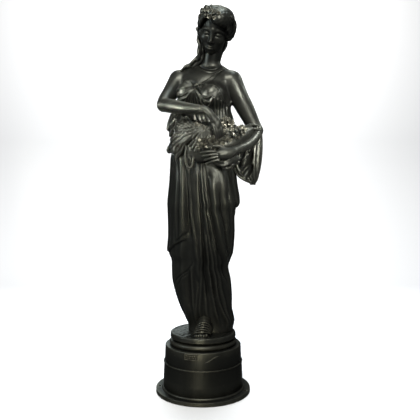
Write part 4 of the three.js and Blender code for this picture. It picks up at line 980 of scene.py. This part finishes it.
def fingers(knuckles, tips, radius, bend):
    """Four fingers side by side between two rows, each given by its first and last point."""
    made = []
    for i in range(4):
        knuckle = np.array(knuckles[0]) * (1 - i / 3) + np.array(knuckles[1]) * (i / 3)
        tip = np.array(tips[0]) * (1 - i / 3) + np.array(tips[1]) * (i / 3)
        first = knuckle * 0.58 + tip * 0.42 + np.array(bend)
        second = knuckle * 0.25 + tip * 0.75 + np.array(bend) * 0.8
        made.append(
            tube([(*knuckle, radius + 0.6), (*first, radius), (*second, radius - 0.6),
                (*tip, radius - 1.6)], 3)
        )
    return made


right_hand = Clay((-12, -204, 726), (92, -138, 862), 1.4)
right_hand.add(tube([(-10, -162, 845.5, 15.2), (*right_wrist, 14.5), (28, -178, 826, 13.5),
    (42, -182, 806, 12)]), 3)
right_hand.add(ellipsoid((47, -180, 797), (18, 11, 27), (0, -22, 0)), 6)
for finger in fingers(((38, -185, 784), (63, -176, 787)), ((50, -171, 738), (72, -161, 748)),
        6.2, (1, -4, 0)):
    right_hand.add(finger, 2.5)
right_hand.add(tube([(38, -176, 802, 9), (32, -168, 780, 7.5), (36, -160, 760, 5.5)], 4), 4)
make_piece("RightHand", *skin(right_hand), figure_iron)

left_hand = Clay((-20, -204, 634), (144, -104, 736), 1.4)
left_hand.add(
    tube([(138, -118, 710, 18.9), (*left_wrist, 16.2), (100, -158, 693, 14.6), (82, -168, 687, 13.4),
        (66, -173, 683, 11)]), 3
)
left_hand.add(ellipsoid((79, -167, 684), (42, 12, 21), (0, -8, 10)), 14)
for finger in fingers(((46, -180, 692), (58, -177, 662)), ((-4, -176, 688), (14, -172, 648)),
        5.4, (0, -3, 1)):
    left_hand.add(finger, 1.2)
left_hand.add(tube([(84, -164, 704, 9), (62, -166, 711, 7.5), (40, -164, 712, 6),
    (24, -164, 708, 4.6)], 4), 4)
make_piece("LeftHand", *skin(left_hand), figure_iron)

# %% [markdown]
# ## Head
# The head is carved upright in its own frame, face towards -Y, and only then bowed and tilted, because a
# face is hard to say in tilted numbers. It is a plain ideal head on the rules that drawing books teach:
# eyes half way up, the nose's foot half way from there to the chin, the mouth a third of the way below.

# %% Head frame
HEAD_CENTRE = Vector((47, -38, 1157))
HEAD_SCALE = 0.93
HEAD_TURN = Euler([math.radians(a) for a in (27, 13, -6)], "XYZ")
head_frame = Matrix.Translation(HEAD_CENTRE) @ HEAD_TURN.to_matrix().to_4x4() @ Matrix.Scale(HEAD_SCALE, 4)
into_head = head_frame.inverted()


def to_head(knots):
    """Knots of the body's frame in the head's own frame."""
    return [(*(into_head @ Vector(k[:3])), k[3] / HEAD_SCALE) for k in knots]


def from_head(points):
    """Points of the head's own frame in the body's frame."""
    return np.array(points) @ np.array(head_frame.to_3x3()).T + np.array(head_frame.translation)


# %% [markdown]
# The head is eggs melted together, as the torso is. The eyes are lowered, so each is a ball in a socket that
# its upper lid covers, and all of it is made once and mirrored.

# %% Face
head_clay = Clay((-96, -104, -150), (96, 128, 118), 1.75)
for part in (
    ellipsoid((0, 10, 22), (60, 74, 66)), ellipsoid((0, -20, -28), (49, 50, 60)),
    ellipsoid((0, -47, -70), (19, 17, 16)), ellipsoid((-26, -44, -22), (22, 19, 19)),
    ellipsoid((26, -44, -22), (22, 19, 19)),
):
    head_clay.add(part, 16)
for side in (-1, 1):
    head_clay.add(tube([(side * 42, -46, 11, 4), (side * 26, -56.5, 16, 4.6),
        (side * 9, -59.5, 12, 5)], 5), 10)
    head_clay.cut(ellipsoid((side * 24, -73, -1), (19, 12.5, 10), (0, side * 6, side * 8)), 6)
for side in (-1, 1):
    # The eye is a ball in its socket. A lowered upper lid covers it down to the lash line.
    head_clay.add(ellipsoid((side * 23.5, -52, -2), (15, 12.5, 9.5), (0, side * 5, side * 12)), 2.5)
    lash = [(side * 9.5, -60.5, -4.5, 1), (side * 16, -64, -7, 1.5), (side * 24, -65, -8.2, 1.6),
        (side * 32, -62, -7, 1.4), (side * 38.5, -56.5, -3.5, 1)]
    head_clay.cut(tube(lash, 5), 1)
    lid = [(side * 11, -60.5, 3, 1), (side * 17, -63, 7.5, 1.3), (side * 25, -63.5, 8.8, 1.4),
        (side * 34, -58.5, 6, 1.1)]
    head_clay.cut(tube(lid, 5), 1.6)
    head_clay.add(tube([(side * 12, -60.5, -9, 1.2), (side * 24, -63.5, -12, 1.8),
        (side * 35, -57.5, -8.5, 1.2)], 5), 2.5)
head_clay.add(tube([(0, -61, 16, 7), (0, -65.5, 2, 6), (0, -71, -12, 6.2), (0, -76.5, -24, 7)], 5), 8)
head_clay.add(ellipsoid((0, -77, -28), (7.2, 7, 6)), 4)
for side in (-1, 1):
    head_clay.add(ellipsoid((side * 8.6, -70, -30), (5.6, 8, 5.2), (0, 0, side * -14)), 3)
    head_clay.cut(ellipsoid((side * 5.2, -74, -36), (2.6, 4.4, 2.6)), 1.5)
head_clay.add(ellipsoid((0, -57, -50), (25, 13, 19)), 9)
head_clay.cut(tube([(0, -74, -36, 2), (0, -73, -43, 2.2)], 2), 3)
for side in (-1, 1):
    upper = [(side * 20, -62, -51.5, 0.8), (side * 11, -69, -49, 3), (side * 4, -73, -47.3, 3.6),
        (0, -73.4, -48.6, 3.4)]
    head_clay.add(tube(upper, 5), 2)
lower = [(-17, -62.5, -53.5, 1), (-9, -69, -56.5, 3.8), (0, -71.5, -57.5, 4.4), (9, -69, -56.5, 3.8),
    (17, -62.5, -53.5, 1)]
head_clay.add(tube(lower, 5), 2)
part_line = [(-20, -64, -51.8, 1), (-9, -72.5, -52, 1.1), (0, -75.5, -52.8, 1.1), (9, -72.5, -52, 1.1),
    (20, -64, -51.8, 1)]
head_clay.cut(tube(part_line, 5), 1)
head_clay.cut(tube([(-9, -67, -65, 2), (0, -68.5, -65.5, 2.4), (9, -67, -65, 2)], 4), 4)
neck_in_head = [(36, 8, 1050, 26), (40, 4, 1080, 30), (42, 4, 1104, 34)]
head_clay.add(tube(to_head(neck_in_head)), 8)
print("face carved in a frame", round(185 * HEAD_SCALE), "mm high")

# %% [markdown]
# Her hair is drawn back in locks to a knot: each lock is a tube that starts at the parting and sweeps over
# the temple to the nape. On her left a smooth mass is swept over the locks and ends in a brim above the
# forehead, and on her right short curls are piled up. The face is kept free by cutting it out of the hair
# before the two are joined.

# %% Hair
hair = Clay((-96, -104, -150), (96, 128, 118), 1.75)
for part in (
    ellipsoid((0, 16, 25), (66, 77, 69)), ellipsoid((-50, 0, -6), (19, 40, 36)),
    ellipsoid((-54, -2, 42), (24, 30, 22)), ellipsoid((55, 6, 8), (28, 44, 42)),
    ellipsoid((0, 84, 0), (36, 32, 34)),
):
    hair.add(part, 10)

LOCKS = 8
for side in (-1, 1):
    for i in range(LOCKS):
        share = i / (LOCKS - 1)
        start = np.array((side * 4, -52 + 62 * share, 74 + 22 * math.sin(share * 1.6)))
        temple = np.array((side * (58 + 8 * math.sin(share * 3)), -44 + 56 * share, 26 + 14 * share))
        low = np.array((side * (60 - 6 * share), -12 + 44 * share, -20 + 12 * share))
        knot = np.array((side * 22, 84 + 6 * share, -8 + 12 * share))
        arch = (start + temple) / 2 + np.array((side * 10, -7 + 5 * share, 14))
        wave = 3.5 * math.sin(i * 2.1)
        hair.add(
            tube([(*start, 5.5), (*(arch + (0, 0, wave)), 7), (*(temple + (0, wave, 0)), 7.5),
                  (*((temple + low) / 2 + (side * 3, -wave, 0)), 7), (*low, 7), (*knot, 6)], 4), 2
        )
for turn in range(3):
    around = [math.radians(120 * turn + 40 * s) for s in range(5)]
    hair.add(tube([(24 * math.cos(a), 92 + 14 * turn / 2, 22 * math.sin(a), 9) for a in around], 4), 3)
for curl in (
    ellipsoid((-56, -6, 66), (18, 19, 18)), ellipsoid((-40, -18, 84), (15, 15, 14)),
    ellipsoid((-12, -6, 88), (22, 24, 13)),
):
    hair.add(curl, 4)
# A smooth swept mass covers the locks on the other side and ends in a brim over the forehead.
hair.add(ellipsoid((20, -6, 57), (53, 70, 42), (0, 10, 0)), 2)
hair.cut(tube([(52, -50, 84, 1.5), (66, -36, 66, 3.2), (76, -28, 44, 3.2), (78, -26, 22, 1.5)], 4), 1.5)
hair.add(tube([(62, -22, 74, 4), (76, -18, 50, 7), (79, -14, 24, 8.5), (73, -12, 2, 8),
    (64, -12, -14, 6)], 4), 3)


def snail_curl(centre, out, size, start):
    """One curl: a lock that winds inwards like a snail's shell, seen along out."""
    turn = Vector(out).to_track_quat("Z", "Y").to_matrix()
    lock = []
    for step in range(12):
        a = math.radians(start + 42 * step)
        reach = size * (1 - 0.065 * step)
        p = turn @ Vector((math.cos(a) * reach, math.sin(a) * reach * 0.85, 0.3 * step - 1))
        lock.append((centre[0] + p.x, centre[1] + p.y, centre[2] + p.z, size * (0.44 - 0.012 * step)))
    return tube(lock, 2)


for i, (centre, out, size) in enumerate((
    ((-62, -20, 56), (-0.8, -0.6, 0.2), 9), ((-50, -34, 74), (-0.5, -0.8, 0.4), 9.5),
    ((-66, -2, 72), (-0.9, -0.3, 0.5), 9), ((-34, -34, 86), (-0.3, -0.7, 0.7), 8.5),
    ((-52, -14, 88), (-0.6, -0.3, 0.8), 10), ((-16, -34, 88), (0, -0.7, 0.7), 8),
    ((-70, -12, 38), (-1, -0.5, 0), 8), ((-30, -12, 94), (-0.2, -0.3, 1), 9),
)):
    hair.add(snail_curl(centre, out, size, 77 * i), 1.5)


def wave_height(x, y, z):
    """Strands on the drawn hair, and small dents on the swept mass."""
    sweep = np.arctan2(np.abs(x), z + 40)
    strands = np.sin(sweep * 38 + 1.2 * np.sin((y + 40) / 11)) * 0.9
    dents = np.sin(x / 3.4 + np.sin(z / 6)) * np.sin(y / 3.7) * np.sin(z / 3.3) * 0.8
    cap = smoothstep(x, -22, -8) * smoothstep(z, 24, 34)
    return strands * (1 - cap) + dents * cap


hair.relief((-96, -104, -120), (96, 128, 118), wave_height, 8)
hair.cut(ellipsoid((0, -66, -22), (49, 46, 66)), 4)
head_clay.field = round_min(head_clay.field, hair.field, 2.5)
points, faces = skin(head_clay)
make_piece("HeadAndHair", from_head(points), faces, figure_iron)

# %% [markdown]
# ## Long curls and the nape
# Two long curls fall from beside the ears, each two strands turned round each other like a rope, and the one
# on her right lies on the shoulder. Strands this thick fill well with iron, where single thin ones would not.

# %% Curls


def tress(knots, twist):
    """Two strands turned round each other, through knots of x, y, z and radius."""
    strands = []
    for phase in (0, 180):
        strand = []
        for i, (x, y, z, r) in enumerate(knots):
            a = math.radians(phase + twist * i)
            strand.append((x + math.cos(a) * r * 0.56, y + math.sin(a) * r * 0.56, z, r * 0.6))
        strands.append(tube(strand, 5))
    return strands


nape = Clay((-94, -60, 984), (110, 76, 1190), 1.9)
nape.add(ellipsoid((56, 36, 1128), (42, 30, 36)), 3)
nape.add(tube([(56, 40, 1110, 28), (48, 34, 1070, 24), (42, 36, 1030, 16), (40, 44, 996, 8)]), 10)
nape.add(tube([(10, 14, 1130, 20), (0, 4, 1090, 14), (-8, 0, 1056, 12), (-34, 0, 1030, 10)]), 10)
for i in range(9):
    side = -1 + 2 * i / 8
    nape.add(
        tube([(50 + 34 * side, 58 - 26 * side * side, 1130, 6),
            (48 + 22 * side, 58 - 20 * side * side, 1084, 6),
              (44 + 13 * side, 52 - 12 * side * side, 1040, 5),
              (40 + 4 * side, 50 - 3 * side * side, 1002, 3)], 4), 2
    )
for strand in tress(
    [(-16, -16, 1170, 11), (-15, -18, 1148, 9.5), (-14, -19, 1124, 9.5), (-13, -19, 1100, 9.5),
    (-13, -18, 1078, 10),
     (-20, -12, 1060, 11), (-38, -4, 1042, 12), (-58, 2, 1032, 11), (-74, 6, 1023, 8.5),
     (-86, 8, 1013, 5)], 100
) + tress([(90, 6, 1140, 12), (86, 10, 1122, 10), (78, 14, 1100, 9.5), (68, 16, 1078, 8.5),
        (60, 16, 1060, 6)], 100):
    nape.add(strand, 1.5)
make_piece("NapeAndCurls", *skin(nape), figure_iron)

# %% [markdown]
# ## Foot and ground
# Her right foot shows below the hem in a sandal, with five toes, five straps over the instep and one down
# each side. The straps are thin tubes that sink half into the foot, as they do where a strap is tied tight.

# %% Foot
foot = Clay((-42, -124, -9), (44, 6, 92), 1.5)
foot.add(tube([(8, -20, 60, 27), (5, -56, 40, 25), (-2, -84, 18, 20)]), 3)
foot.add(ellipsoid((-5, -88, 8), (23, 18, 14)), 6)
foot.add(ellipsoid((-2, -80, -2), (30, 37, 8)), 2)
for i in range(5):
    across = -24 + 9.4 * i
    tip = -108 + 1.6 * abs(i - 3.4)
    foot.add(tube([(across * 0.9, -92, 10, 6.5), (across, tip, 5 + 0.6 * i, 5 + 0.4 * i)], 2), 1.2)
for i in range(5):
    height, lean = 44 - 7.5 * i, 6.5 * i
    ring = []
    for step in range(7):
        a = math.radians(-84 + 168 * step / 6 + 4 * math.sin(2 * i))
        ring.append((3 - 1.5 * i + 33 * math.sin(a), -60 - lean - 23 * math.cos(a),
            7 + height * math.cos(a), 2.6))
    foot.add(tube(ring, 3), 0.8)
for side in (-1, 1):
    foot.add(tube([(side * 14 + 3, -56, 60, 2.2), (side * 9, -74, 48, 2.2), (side * 2, -88, 32, 2)], 4), 1)
make_piece("FootInSandal", *skin(foot), carved_iron)

# %% [markdown]
# The casting's round terrace is worked as uneven ground, so it is a turned disc with low ripples pressed
# round the foot. Its lip is knocked a little out of round, which breaks the gleam along the edge.

# %% Terrace


def turned(outline, sides):
    """A closed turned solid from radius and height pairs that start and end on the axis."""
    points = [(0.0, 0.0, outline[0][1])]
    for r, z in outline[1:-1]:
        for s in range(sides):
            a = 2 * math.pi * s / sides
            points.append((r * math.cos(a), r * math.sin(a), z))
    points.append((0.0, 0.0, outline[-1][1]))
    rings = len(outline) - 2
    faces = []
    for s in range(sides):
        t = (s + 1) % sides
        faces.append((0, 1 + t, 1 + s))
        for ring in range(rings - 1):
            low, high = 1 + ring * sides, 1 + (ring + 1) * sides
            faces.append((low + s, low + t, high + t, high + s))
        last = 1 + (rings - 1) * sides
        faces.append((last + s, last + t, len(points) - 1))
    return np.array(points), faces


def arc(radius, height, round_radius, start, end, steps):
    """Radius and height pairs along an arc round a centre, from one angle to another in degrees."""
    angles = np.radians(np.linspace(start, end, steps + 1))
    return [(radius + round_radius * math.cos(a), height + round_radius * math.sin(a)) for a in angles]


outline = [(0, -28), (116.5, -28), (118, -26.5), (118, -19.4)]
outline += arc(120.3, -15.4, 7.7, -60, 0, 5)
outline += arc(120.3, -7.7, 7.7, 0, 90, 8)[1:]
for r in range(116, 8, -4):
    outline.append((r, 0))
outline.append((0, 0))
points, faces = turned(outline, 160)
x, y, z = points.T
ground = smoothstep(z, -8, -1) * (1 - smoothstep(np.hypot(x, y), 110, 124))
ripple = np.sin(x / 4.6 + 2 * np.sin(y / 11)) * np.sin(y / 3.9 + 1.5 * np.sin(x / 9))
points[:, 2] -= ground * (2.0 - 1.9 * ripple * (0.6 + 0.4 * smoothstep(-y, 20, 70)))
around = np.arctan2(y, x)
lip = smoothstep(np.hypot(x, y), 112, 122) * (z > -17)
knocks = np.sin(around * 31 + 2 * np.sin(around * 7)) * np.sin(z / 3 + around * 17)
points[:, :2] *= (1 - lip * (0.4 - 0.4 * knocks) / 60)[:, None]
make_piece("Terrace", points, faces, figure_iron)

# %% [markdown]
# ## Flowers
# In an iron casting a flower is a knob with petals cut into it. Here each petal and leaf is a small closed
# lens, cupped towards its middle, and a blossom is five or six of them round a bud. Turning each next
# flower by the golden angle spreads them without any two alike, and the seed keeps the picture the same.

# %% One petal, one flower, one leaf
random = np.random.default_rng(7)


def lens(length, width, thick, cup, steps=6, ribs=0, blunt=0.8):
    """A closed petal along +X from the origin, cupped up at its tip and sides."""
    u = np.linspace(0, 1, steps + 1)
    v = np.linspace(-1, 1, 5)
    half = width / 2 * np.sin(np.pi * np.clip(u, 0.03, 0.97) ** blunt) ** 0.6
    points, faces = [], []
    for side in (1, -1):
        for ui, h in zip(u, half):
            for vi in v:
                swell = thick / 2 * (1 - vi * vi) ** 0.5 * math.sin(math.pi * min(max(ui, 0.04), 0.96)) ** 0.5
                vein = 0.25 * thick * math.exp(-((vi / 0.25) ** 2)) * ribs
                lift = cup * (ui * ui + 0.5 * vi * vi * h / max(width, 1e-6) * 2)
                points.append((ui * length, vi * h, lift + side * swell - (vein if side > 0 else 0)))
    row, layer = len(v), len(u) * len(v)
    for i in range(len(u) - 1):
        for j in range(len(v) - 1):
            a = i * row + j
            faces.append((a, a + row, a + row + 1, a + 1))
            b = a + layer
            faces.append((b, b + 1, b + row + 1, b + row))
    rim = [i * row for i in range(len(u))] + [(len(u) - 1) * row + j for j in range(1, row)]
    rim += [i * row + row - 1 for i in range(len(u) - 2, -1, -1)] + list(range(row - 2, 0, -1))
    for a, b in zip(rim, rim[1:] + rim[:1]):
        faces.append((b, a, a + layer, b + layer))
    return np.array(points), faces


def bud(radius, steps=6):
    """A small round bud at the origin."""
    outline = [(0, -radius)] + arc(0, 0, radius, -75, 75, steps) + [(0, radius)]
    return turned(outline, 10)


def gathered(parts):
    """One list of points and faces from several."""
    points, faces, count = [], [], 0
    for p, f in parts:
        points.append(p)
        faces += [tuple(i + count for i in face) for face in f]
        count += len(p)
    return np.vstack(points), faces


def moved(part, matrix):
    """A part put in its place by a matrix."""
    points, faces = part
    m = np.array(matrix)
    return points @ m[:3, :3].T + m[:3, 3], faces


def facing(place, outward, spin):
    """A matrix that puts +Z along outward at place, turned by spin degrees about it."""
    turn = Vector(outward).to_track_quat("Z", "Y").to_matrix().to_4x4()
    return Matrix.Translation(Vector(place)) @ turn @ Matrix.Rotation(math.radians(spin), 4, "Z")


def blossom(size, petals):
    """A flower that opens towards +Z."""
    parts = [bud(size * 0.3)]
    for i in range(petals):
        petal = lens(size, size * 1.0, size * 0.34, size * 0.3, blunt=1.5)
        turn = Matrix.Rotation(2 * math.pi * i / petals, 4, "Z") @ Matrix.Translation((size * 0.1, 0, 0))
        lift = Matrix.Rotation(math.radians(-10 - 14 * random.random()), 4, "Y")
        parts.append(moved(petal, turn @ lift))
    return gathered(parts)


def leaf(size):
    """A veined leaf along +X."""
    return lens(size * 1.9, size * 0.95, size * 0.2, size * 0.3, 8, 1)


# %% [markdown]
# The flowers fill the pouch along one thick line, with more on stalks above it. Every third is a leaf,
# because a bed of blossoms alone reads as gravel from a step away.

# %% Bouquet in the pouch
BOUQUET_LINE = [
    (-12, -150, 712, 9), (8, -156, 730, 15), (36, -160, 722, 16), (62, -158, 738, 20), (90, -148, 748, 22),
    (118, -132, 758, 20), (142, -104, 772, 15), (156, -84, 784, 9),
]
STALKS = [(88, -116, 772, 14), (76, -108, 792, 12), (88, -100, 814, 12), (106, -94, 804, 12),
    (118, -100, 784, 13)]
line = smooth_line(BOUQUET_LINE, 8)
parts = []
FLOWERS = 74
for i in range(FLOWERS):
    at = line[int((i + 0.5) / FLOWERS * (len(line) - 1))]
    spin = math.radians(137.5 * i)
    out = np.array((math.cos(spin), -0.9, math.sin(spin) * 0.9 + 0.15))
    out /= np.linalg.norm(out)
    place = at[:3] + out * (at[3] - 6) + np.array((math.cos(spin), 0.3, math.sin(spin))) * at[3] * 0.35
    size = 7.5 + 3.5 * random.random()
    if i % 3 == 2:
        parts.append(moved(leaf(size), facing(place, out, 360 * random.random())))
    else:
        parts.append(moved(blossom(size, 5 + i % 2), facing(place, out, 40 * i)))
for x, y, z, r in STALKS:
    for i in range(9):
        spin = math.radians(137.5 * i + x)
        height = -0.8 + 1.7 * (i + 0.5) / 9
        out = np.array((math.cos(spin) * 0.9, math.sin(spin) * 0.7 - 0.35, height))
        out /= np.linalg.norm(out)
        place = np.array((x, y, z)) + out * r * 0.75
        size = 6 + 2 * random.random()
        made = leaf(size * 0.9) if i % 4 == 3 else blossom(size, 5)
        parts.append(moved(made, facing(place, out, 77 * i)))
# Leaves and small blossoms spill over the cloth beside her right hand.
for i in range(13):
    share = i / 12
    place = np.array((-22 + 52 * share, -147 - 4 * math.sin(3 * share),
        792 - 26 * share + 9 * math.sin(5 * i)))
    out = np.array((0.5 * math.sin(4 * i), -1, 0.3 * math.cos(3 * i)))
    made = leaf(8 + 2 * random.random()) if i % 3 else blossom(8, 5)
    parts.append(moved(made, facing(place, out, 150 + 97 * i)))
make_piece("Flowers", *gathered(parts), carved_iron)

# %% [markdown]
# Between the blossoms the casting isn't open: there is a lower mass of stems, painted but hardly reached by
# light. A ridged form under the flowers, in the darkest of the four paints as painted shade, gives that
# depth.

# %% Mass of stalks and buds under the flowers
bed = Clay((-44, -176, 676), (186, -60, 838), 2.3)
bed.add(tube([(x, y + 8, z - 2, r * 0.8) for x, y, z, r in BOUQUET_LINE]), 3)
for x, y, z, r in STALKS:
    bed.add(ellipsoid((x, y, z), (r * 0.8, r * 0.7, r * 0.8)), 3)
    bed.add(tube([(x, y, z, 5), (x * 0.7 + 25, y - 10, 740, 7)], 3), 3)


def stem_height(x, y, z):
    """Stalks and buds as small ridges."""
    return 1.6 * np.sin(x / 2.3 + 1.5 * np.sin(z / 9)) * np.sin(z / 3.1 + y / 6)


bed.relief((-44, -176, 676), (186, -60, 838), stem_height, 6)
# The bed's near-black paint is painted shade between the blossoms.
make_piece("StalksAndBuds", *skin(bed), darkest_paint_and_shade)

# %% [markdown]
# A band of blossoms and leaves crosses the hair above the forehead, larger on her right, where the curls are.
# It is laid out in the head's own frame and then bowed with it.

# %% Wreath in her hair
parts = []
WREATH = 24
for i in range(WREATH):
    a = math.radians(-84 + 128 * i / (WREATH - 1))
    row = i % 3
    reach = 72 - 3 * row
    place = np.array((math.sin(a) * 64, 4 - math.cos(a) * reach, 48 + 18 * math.cos(a) + 9 * row))
    out = np.array((math.sin(a), -math.cos(a), 0.35 + 0.35 * row))
    size = 8 + 3 * random.random() - 3 * smoothstep(a, 0.0, 0.5)
    if i % 3 == 1:
        made = leaf(size * 0.9)
    else:
        made = blossom(size, 5)
    parts.append(moved(made, facing(place, out, 61 * i)))
points, faces = gathered(parts)
make_piece("Wreath", from_head(points), faces, carved_iron)

# %% [markdown]
# ## Plinth
# The plinth is turned work: a foot flange bolted down through holes, a drum with one raised seam where two
# rings of the mould met, and a half-round moulding on top. A turned outline keeps those edges true.

# %% Turned plinth
FLANGE_TOP = 15
DRUM_TOP = 186
DRUM_FOOT_RADIUS = 156
DRUM_TAPER = 6
SEAM = 122
SEAM_STEP = 2.5
BOLT_RADIUS = 6
BOLT_CIRCLE = 170
BOLT_ANGLES = (180, -18)


def drum_radius(z):
    """The drum's radius at a height above the ground."""
    return DRUM_FOOT_RADIUS - DRUM_TAPER * (z - FLANGE_TOP) / (DRUM_TOP - FLANGE_TOP)


profile = [(0, 0), (183.2, 0), (184, 0.8)]
profile += arc(182.5, 13.5, 1.5, 0, 90, 4)
profile += [(162.5, 15), (161, 15.2)]
profile += arc(154, 15.2, 7, 8, 84, 6)
profile += [(155.4, 23.2), (drum_radius(60), 60), (drum_radius(SEAM), SEAM - 5.2)]
profile += arc(drum_radius(SEAM) - 0.4, SEAM - 2.6, 2.6, -50, 84, 8)
profile += [(drum_radius(SEAM) - SEAM_STEP, SEAM + 0.2), (drum_radius(150) - SEAM_STEP, 150)]
profile += arc(drum_radius(DRUM_TOP) - 6.5, DRUM_TOP - 4, 4, 0, 90, 6)
profile += [(124, 186)]
profile += arc(121, 196, 10, -86, 90, 14)
profile += [(118, 206), (0, 206)]
points, faces = turned(profile, 192)
raised = points - (0, 0, TERRACE_TOP)
plinth = make_piece("Plinth", raised, faces, plinth_iron, "plinth")

drill_points, drill_faces = turned([(0, -20), (BOLT_RADIUS, -20), (BOLT_RADIUS, 40), (0, 40)], 40)
for angle in BOLT_ANGLES:
    around = math.radians(angle)
    place = (BOLT_CIRCLE * math.cos(around), BOLT_CIRCLE * math.sin(around), 0)
    mesh = bpy.data.meshes.new("Drill")
    mesh.from_pydata(((drill_points + place) / 1000).tolist(), [], drill_faces)
    drill = bpy.data.objects.new("Drill", mesh)
    bpy.context.scene.collection.objects.link(drill)
    hole = plinth.modifiers.new("BoltHole", "BOOLEAN")
    hole.operation = "DIFFERENCE"
    hole.object = drill
    drilled = bpy.data.meshes.new_from_object(plinth.evaluated_get(bpy.context.evaluated_depsgraph_get()))
    plinth.modifiers.clear()
    plinth.data = drilled
    bpy.data.objects.remove(drill)
plinth.data.name = "Plinth"
plinth.data.set_sharp_from_angle(angle=math.radians(35))
print("plinth drilled for two bolts")

# %% [markdown]
# A small founder's plate sits under the moulding, with a raised rim. What stands on it here is only rows of
# short strokes that spell nothing.

# %% Plate with strokes


def block(centre, size, bevel=0.3):
    """A box with a small bevel on its front edges; its front looks along -Y."""
    w, d, h = (s / 2 for s in size)
    ring = []
    for inset, y in ((0, d), (0, -d + bevel), (bevel, -d)):
        for sx, sz in ((-1, -1), (1, -1), (1, 1), (-1, 1)):
            ring.append((sx * (w - inset), y, sz * (h - inset)))
    faces = [(0, 3, 2, 1)[::-1], (8, 9, 10, 11)]
    for layer in range(2):
        for s in range(4):
            t = (s + 1) % 4
            faces.append((4 * layer + s, 4 * layer + t, 4 * layer + 4 + t, 4 * layer + 4 + s))
    return np.array(ring) + centre, faces


PLATE_WIDTH = 50
PLATE_HEIGHT = 24
PLATE_Z = 171
PLATE_PROUD = 1.2
face_radius = drum_radius(PLATE_Z) - SEAM_STEP + PLATE_PROUD
turn = np.array(Matrix.Rotation(math.radians(-17), 3, "Z"))


def on_drum(parts, name, material):
    """Puts plate parts on the drum, turned to her right of the front."""
    points, faces = gathered(parts)
    points = points + (0, 4 - face_radius, PLATE_Z)
    piece = make_piece(name, points @ turn.T - (0, 0, TERRACE_TOP), faces, material, "plinth")
    piece.data.set_sharp_from_angle(angle=math.radians(30))


on_drum([block((0, 0, 0), (PLATE_WIDTH, 8, PLATE_HEIGHT), 0.6)], "Plate", darkest_paint_and_shade)
parts = []
for side in (-1, 1):
    parts.append(block((0, -4.4, side * (PLATE_HEIGHT / 2 - 1.5)), (PLATE_WIDTH, 2.4, 2.6), 0.9))
    parts.append(block((side * (PLATE_WIDTH / 2 - 1.5), -4.4, 0), (2.6, 2.4, PLATE_HEIGHT - 6), 0.9))
for row in (-1, 1):
    x = -20.0
    while x < 17:
        length = 2.0 + 4.0 * random.random()
        parts.append(block((x + length / 2, -4.6, row * 3.9), (length, 2.0, 4.2), 0.8))
        x += length + 2.4
on_drum(parts, "PlateRimAndStrokes", carved_iron)

# %% [markdown]
# Paint sprayed too thick runs and dries as a thread. It is a tapered closed tube half sunk in the drum.

# %% Run of paint on the drum


def run_of_paint(path, radius):
    """A closed tapered thread of paint that dried on the drum, through pairs of angle and height."""
    line = smooth_line(path, 6)
    points, faces = [], []
    for i, (degrees, z) in enumerate(line):
        thick = radius * math.sin(math.pi * (0.05 + 0.9 * i / (len(line) - 1))) ** 0.5
        a = math.radians(degrees)
        for side in range(8):
            b = math.pi * side / 4
            r = drum_radius(z) - 2.8 + thick * math.cos(b)
            points.append((r * math.sin(a), -r * math.cos(a), z + 1.3 * thick * math.sin(b)))
    for i in range(len(line) - 1):
        for side in range(8):
            near, far = 8 * i + side, 8 * i + (side + 1) % 8
            faces.append((near, far, far + 8, near + 8))
    faces.append(tuple(range(7, -1, -1)))
    faces.append(tuple(range(len(points) - 8, len(points))))
    return np.array(points), faces


points, faces = run_of_paint([(26, 174), (20, 171), (15, 166), (10, 158), (3, 151)], 1.7)
make_piece("RunOfPaint", points - (0, 0, TERRACE_TOP), faces, plinth_iron, "plinth")

# %% [markdown]
# ## Floor
# Catalogue pictures stand on a white sweep: a floor that curves up into a wall with no line between them.

# %% Sweep
CURVE = 1.2
sweep_points = []
rows = [(-6, 0), (0, 0), (2.2, 0)]
for a in np.linspace(0.15, 1.57, 10):
    rows.append((2.2 + CURVE * math.sin(a), CURVE - CURVE * math.cos(a)))
rows.append((3.4, 6))
for y, z in rows:
    sweep_points += [(-9, y, z), (9, y, z)]
sweep_faces = [(2 * i, 2 * i + 1, 2 * i + 3, 2 * i + 2) for i in range(len(rows) - 1)]
sweep_mesh = bpy.data.meshes.new("Sweep")
sweep_mesh.from_pydata(sweep_points, [], sweep_faces)
sweep_mesh.shade_smooth()
sweep = bpy.data.objects.new("Sweep", sweep_mesh)
bpy.context.scene.collection.objects.link(sweep)
paper = bpy.data.materials.new("WhitePaper")
paper.use_nodes = True
paper.node_tree.nodes["Principled BSDF"].inputs["Base Color"].default_value = colour("#dedede")
paper.node_tree.nodes["Principled BSDF"].inputs["Roughness"].default_value = 0.9
sweep_mesh.materials.append(paper)
# The paper lights the statue from all sides in a real studio. Dark flags beside it keep that off the paint,
# and the same is had here by leaving the paper out of the mirror and bounce rays.
sweep.visible_glossy = False
sweep.visible_diffuse = False
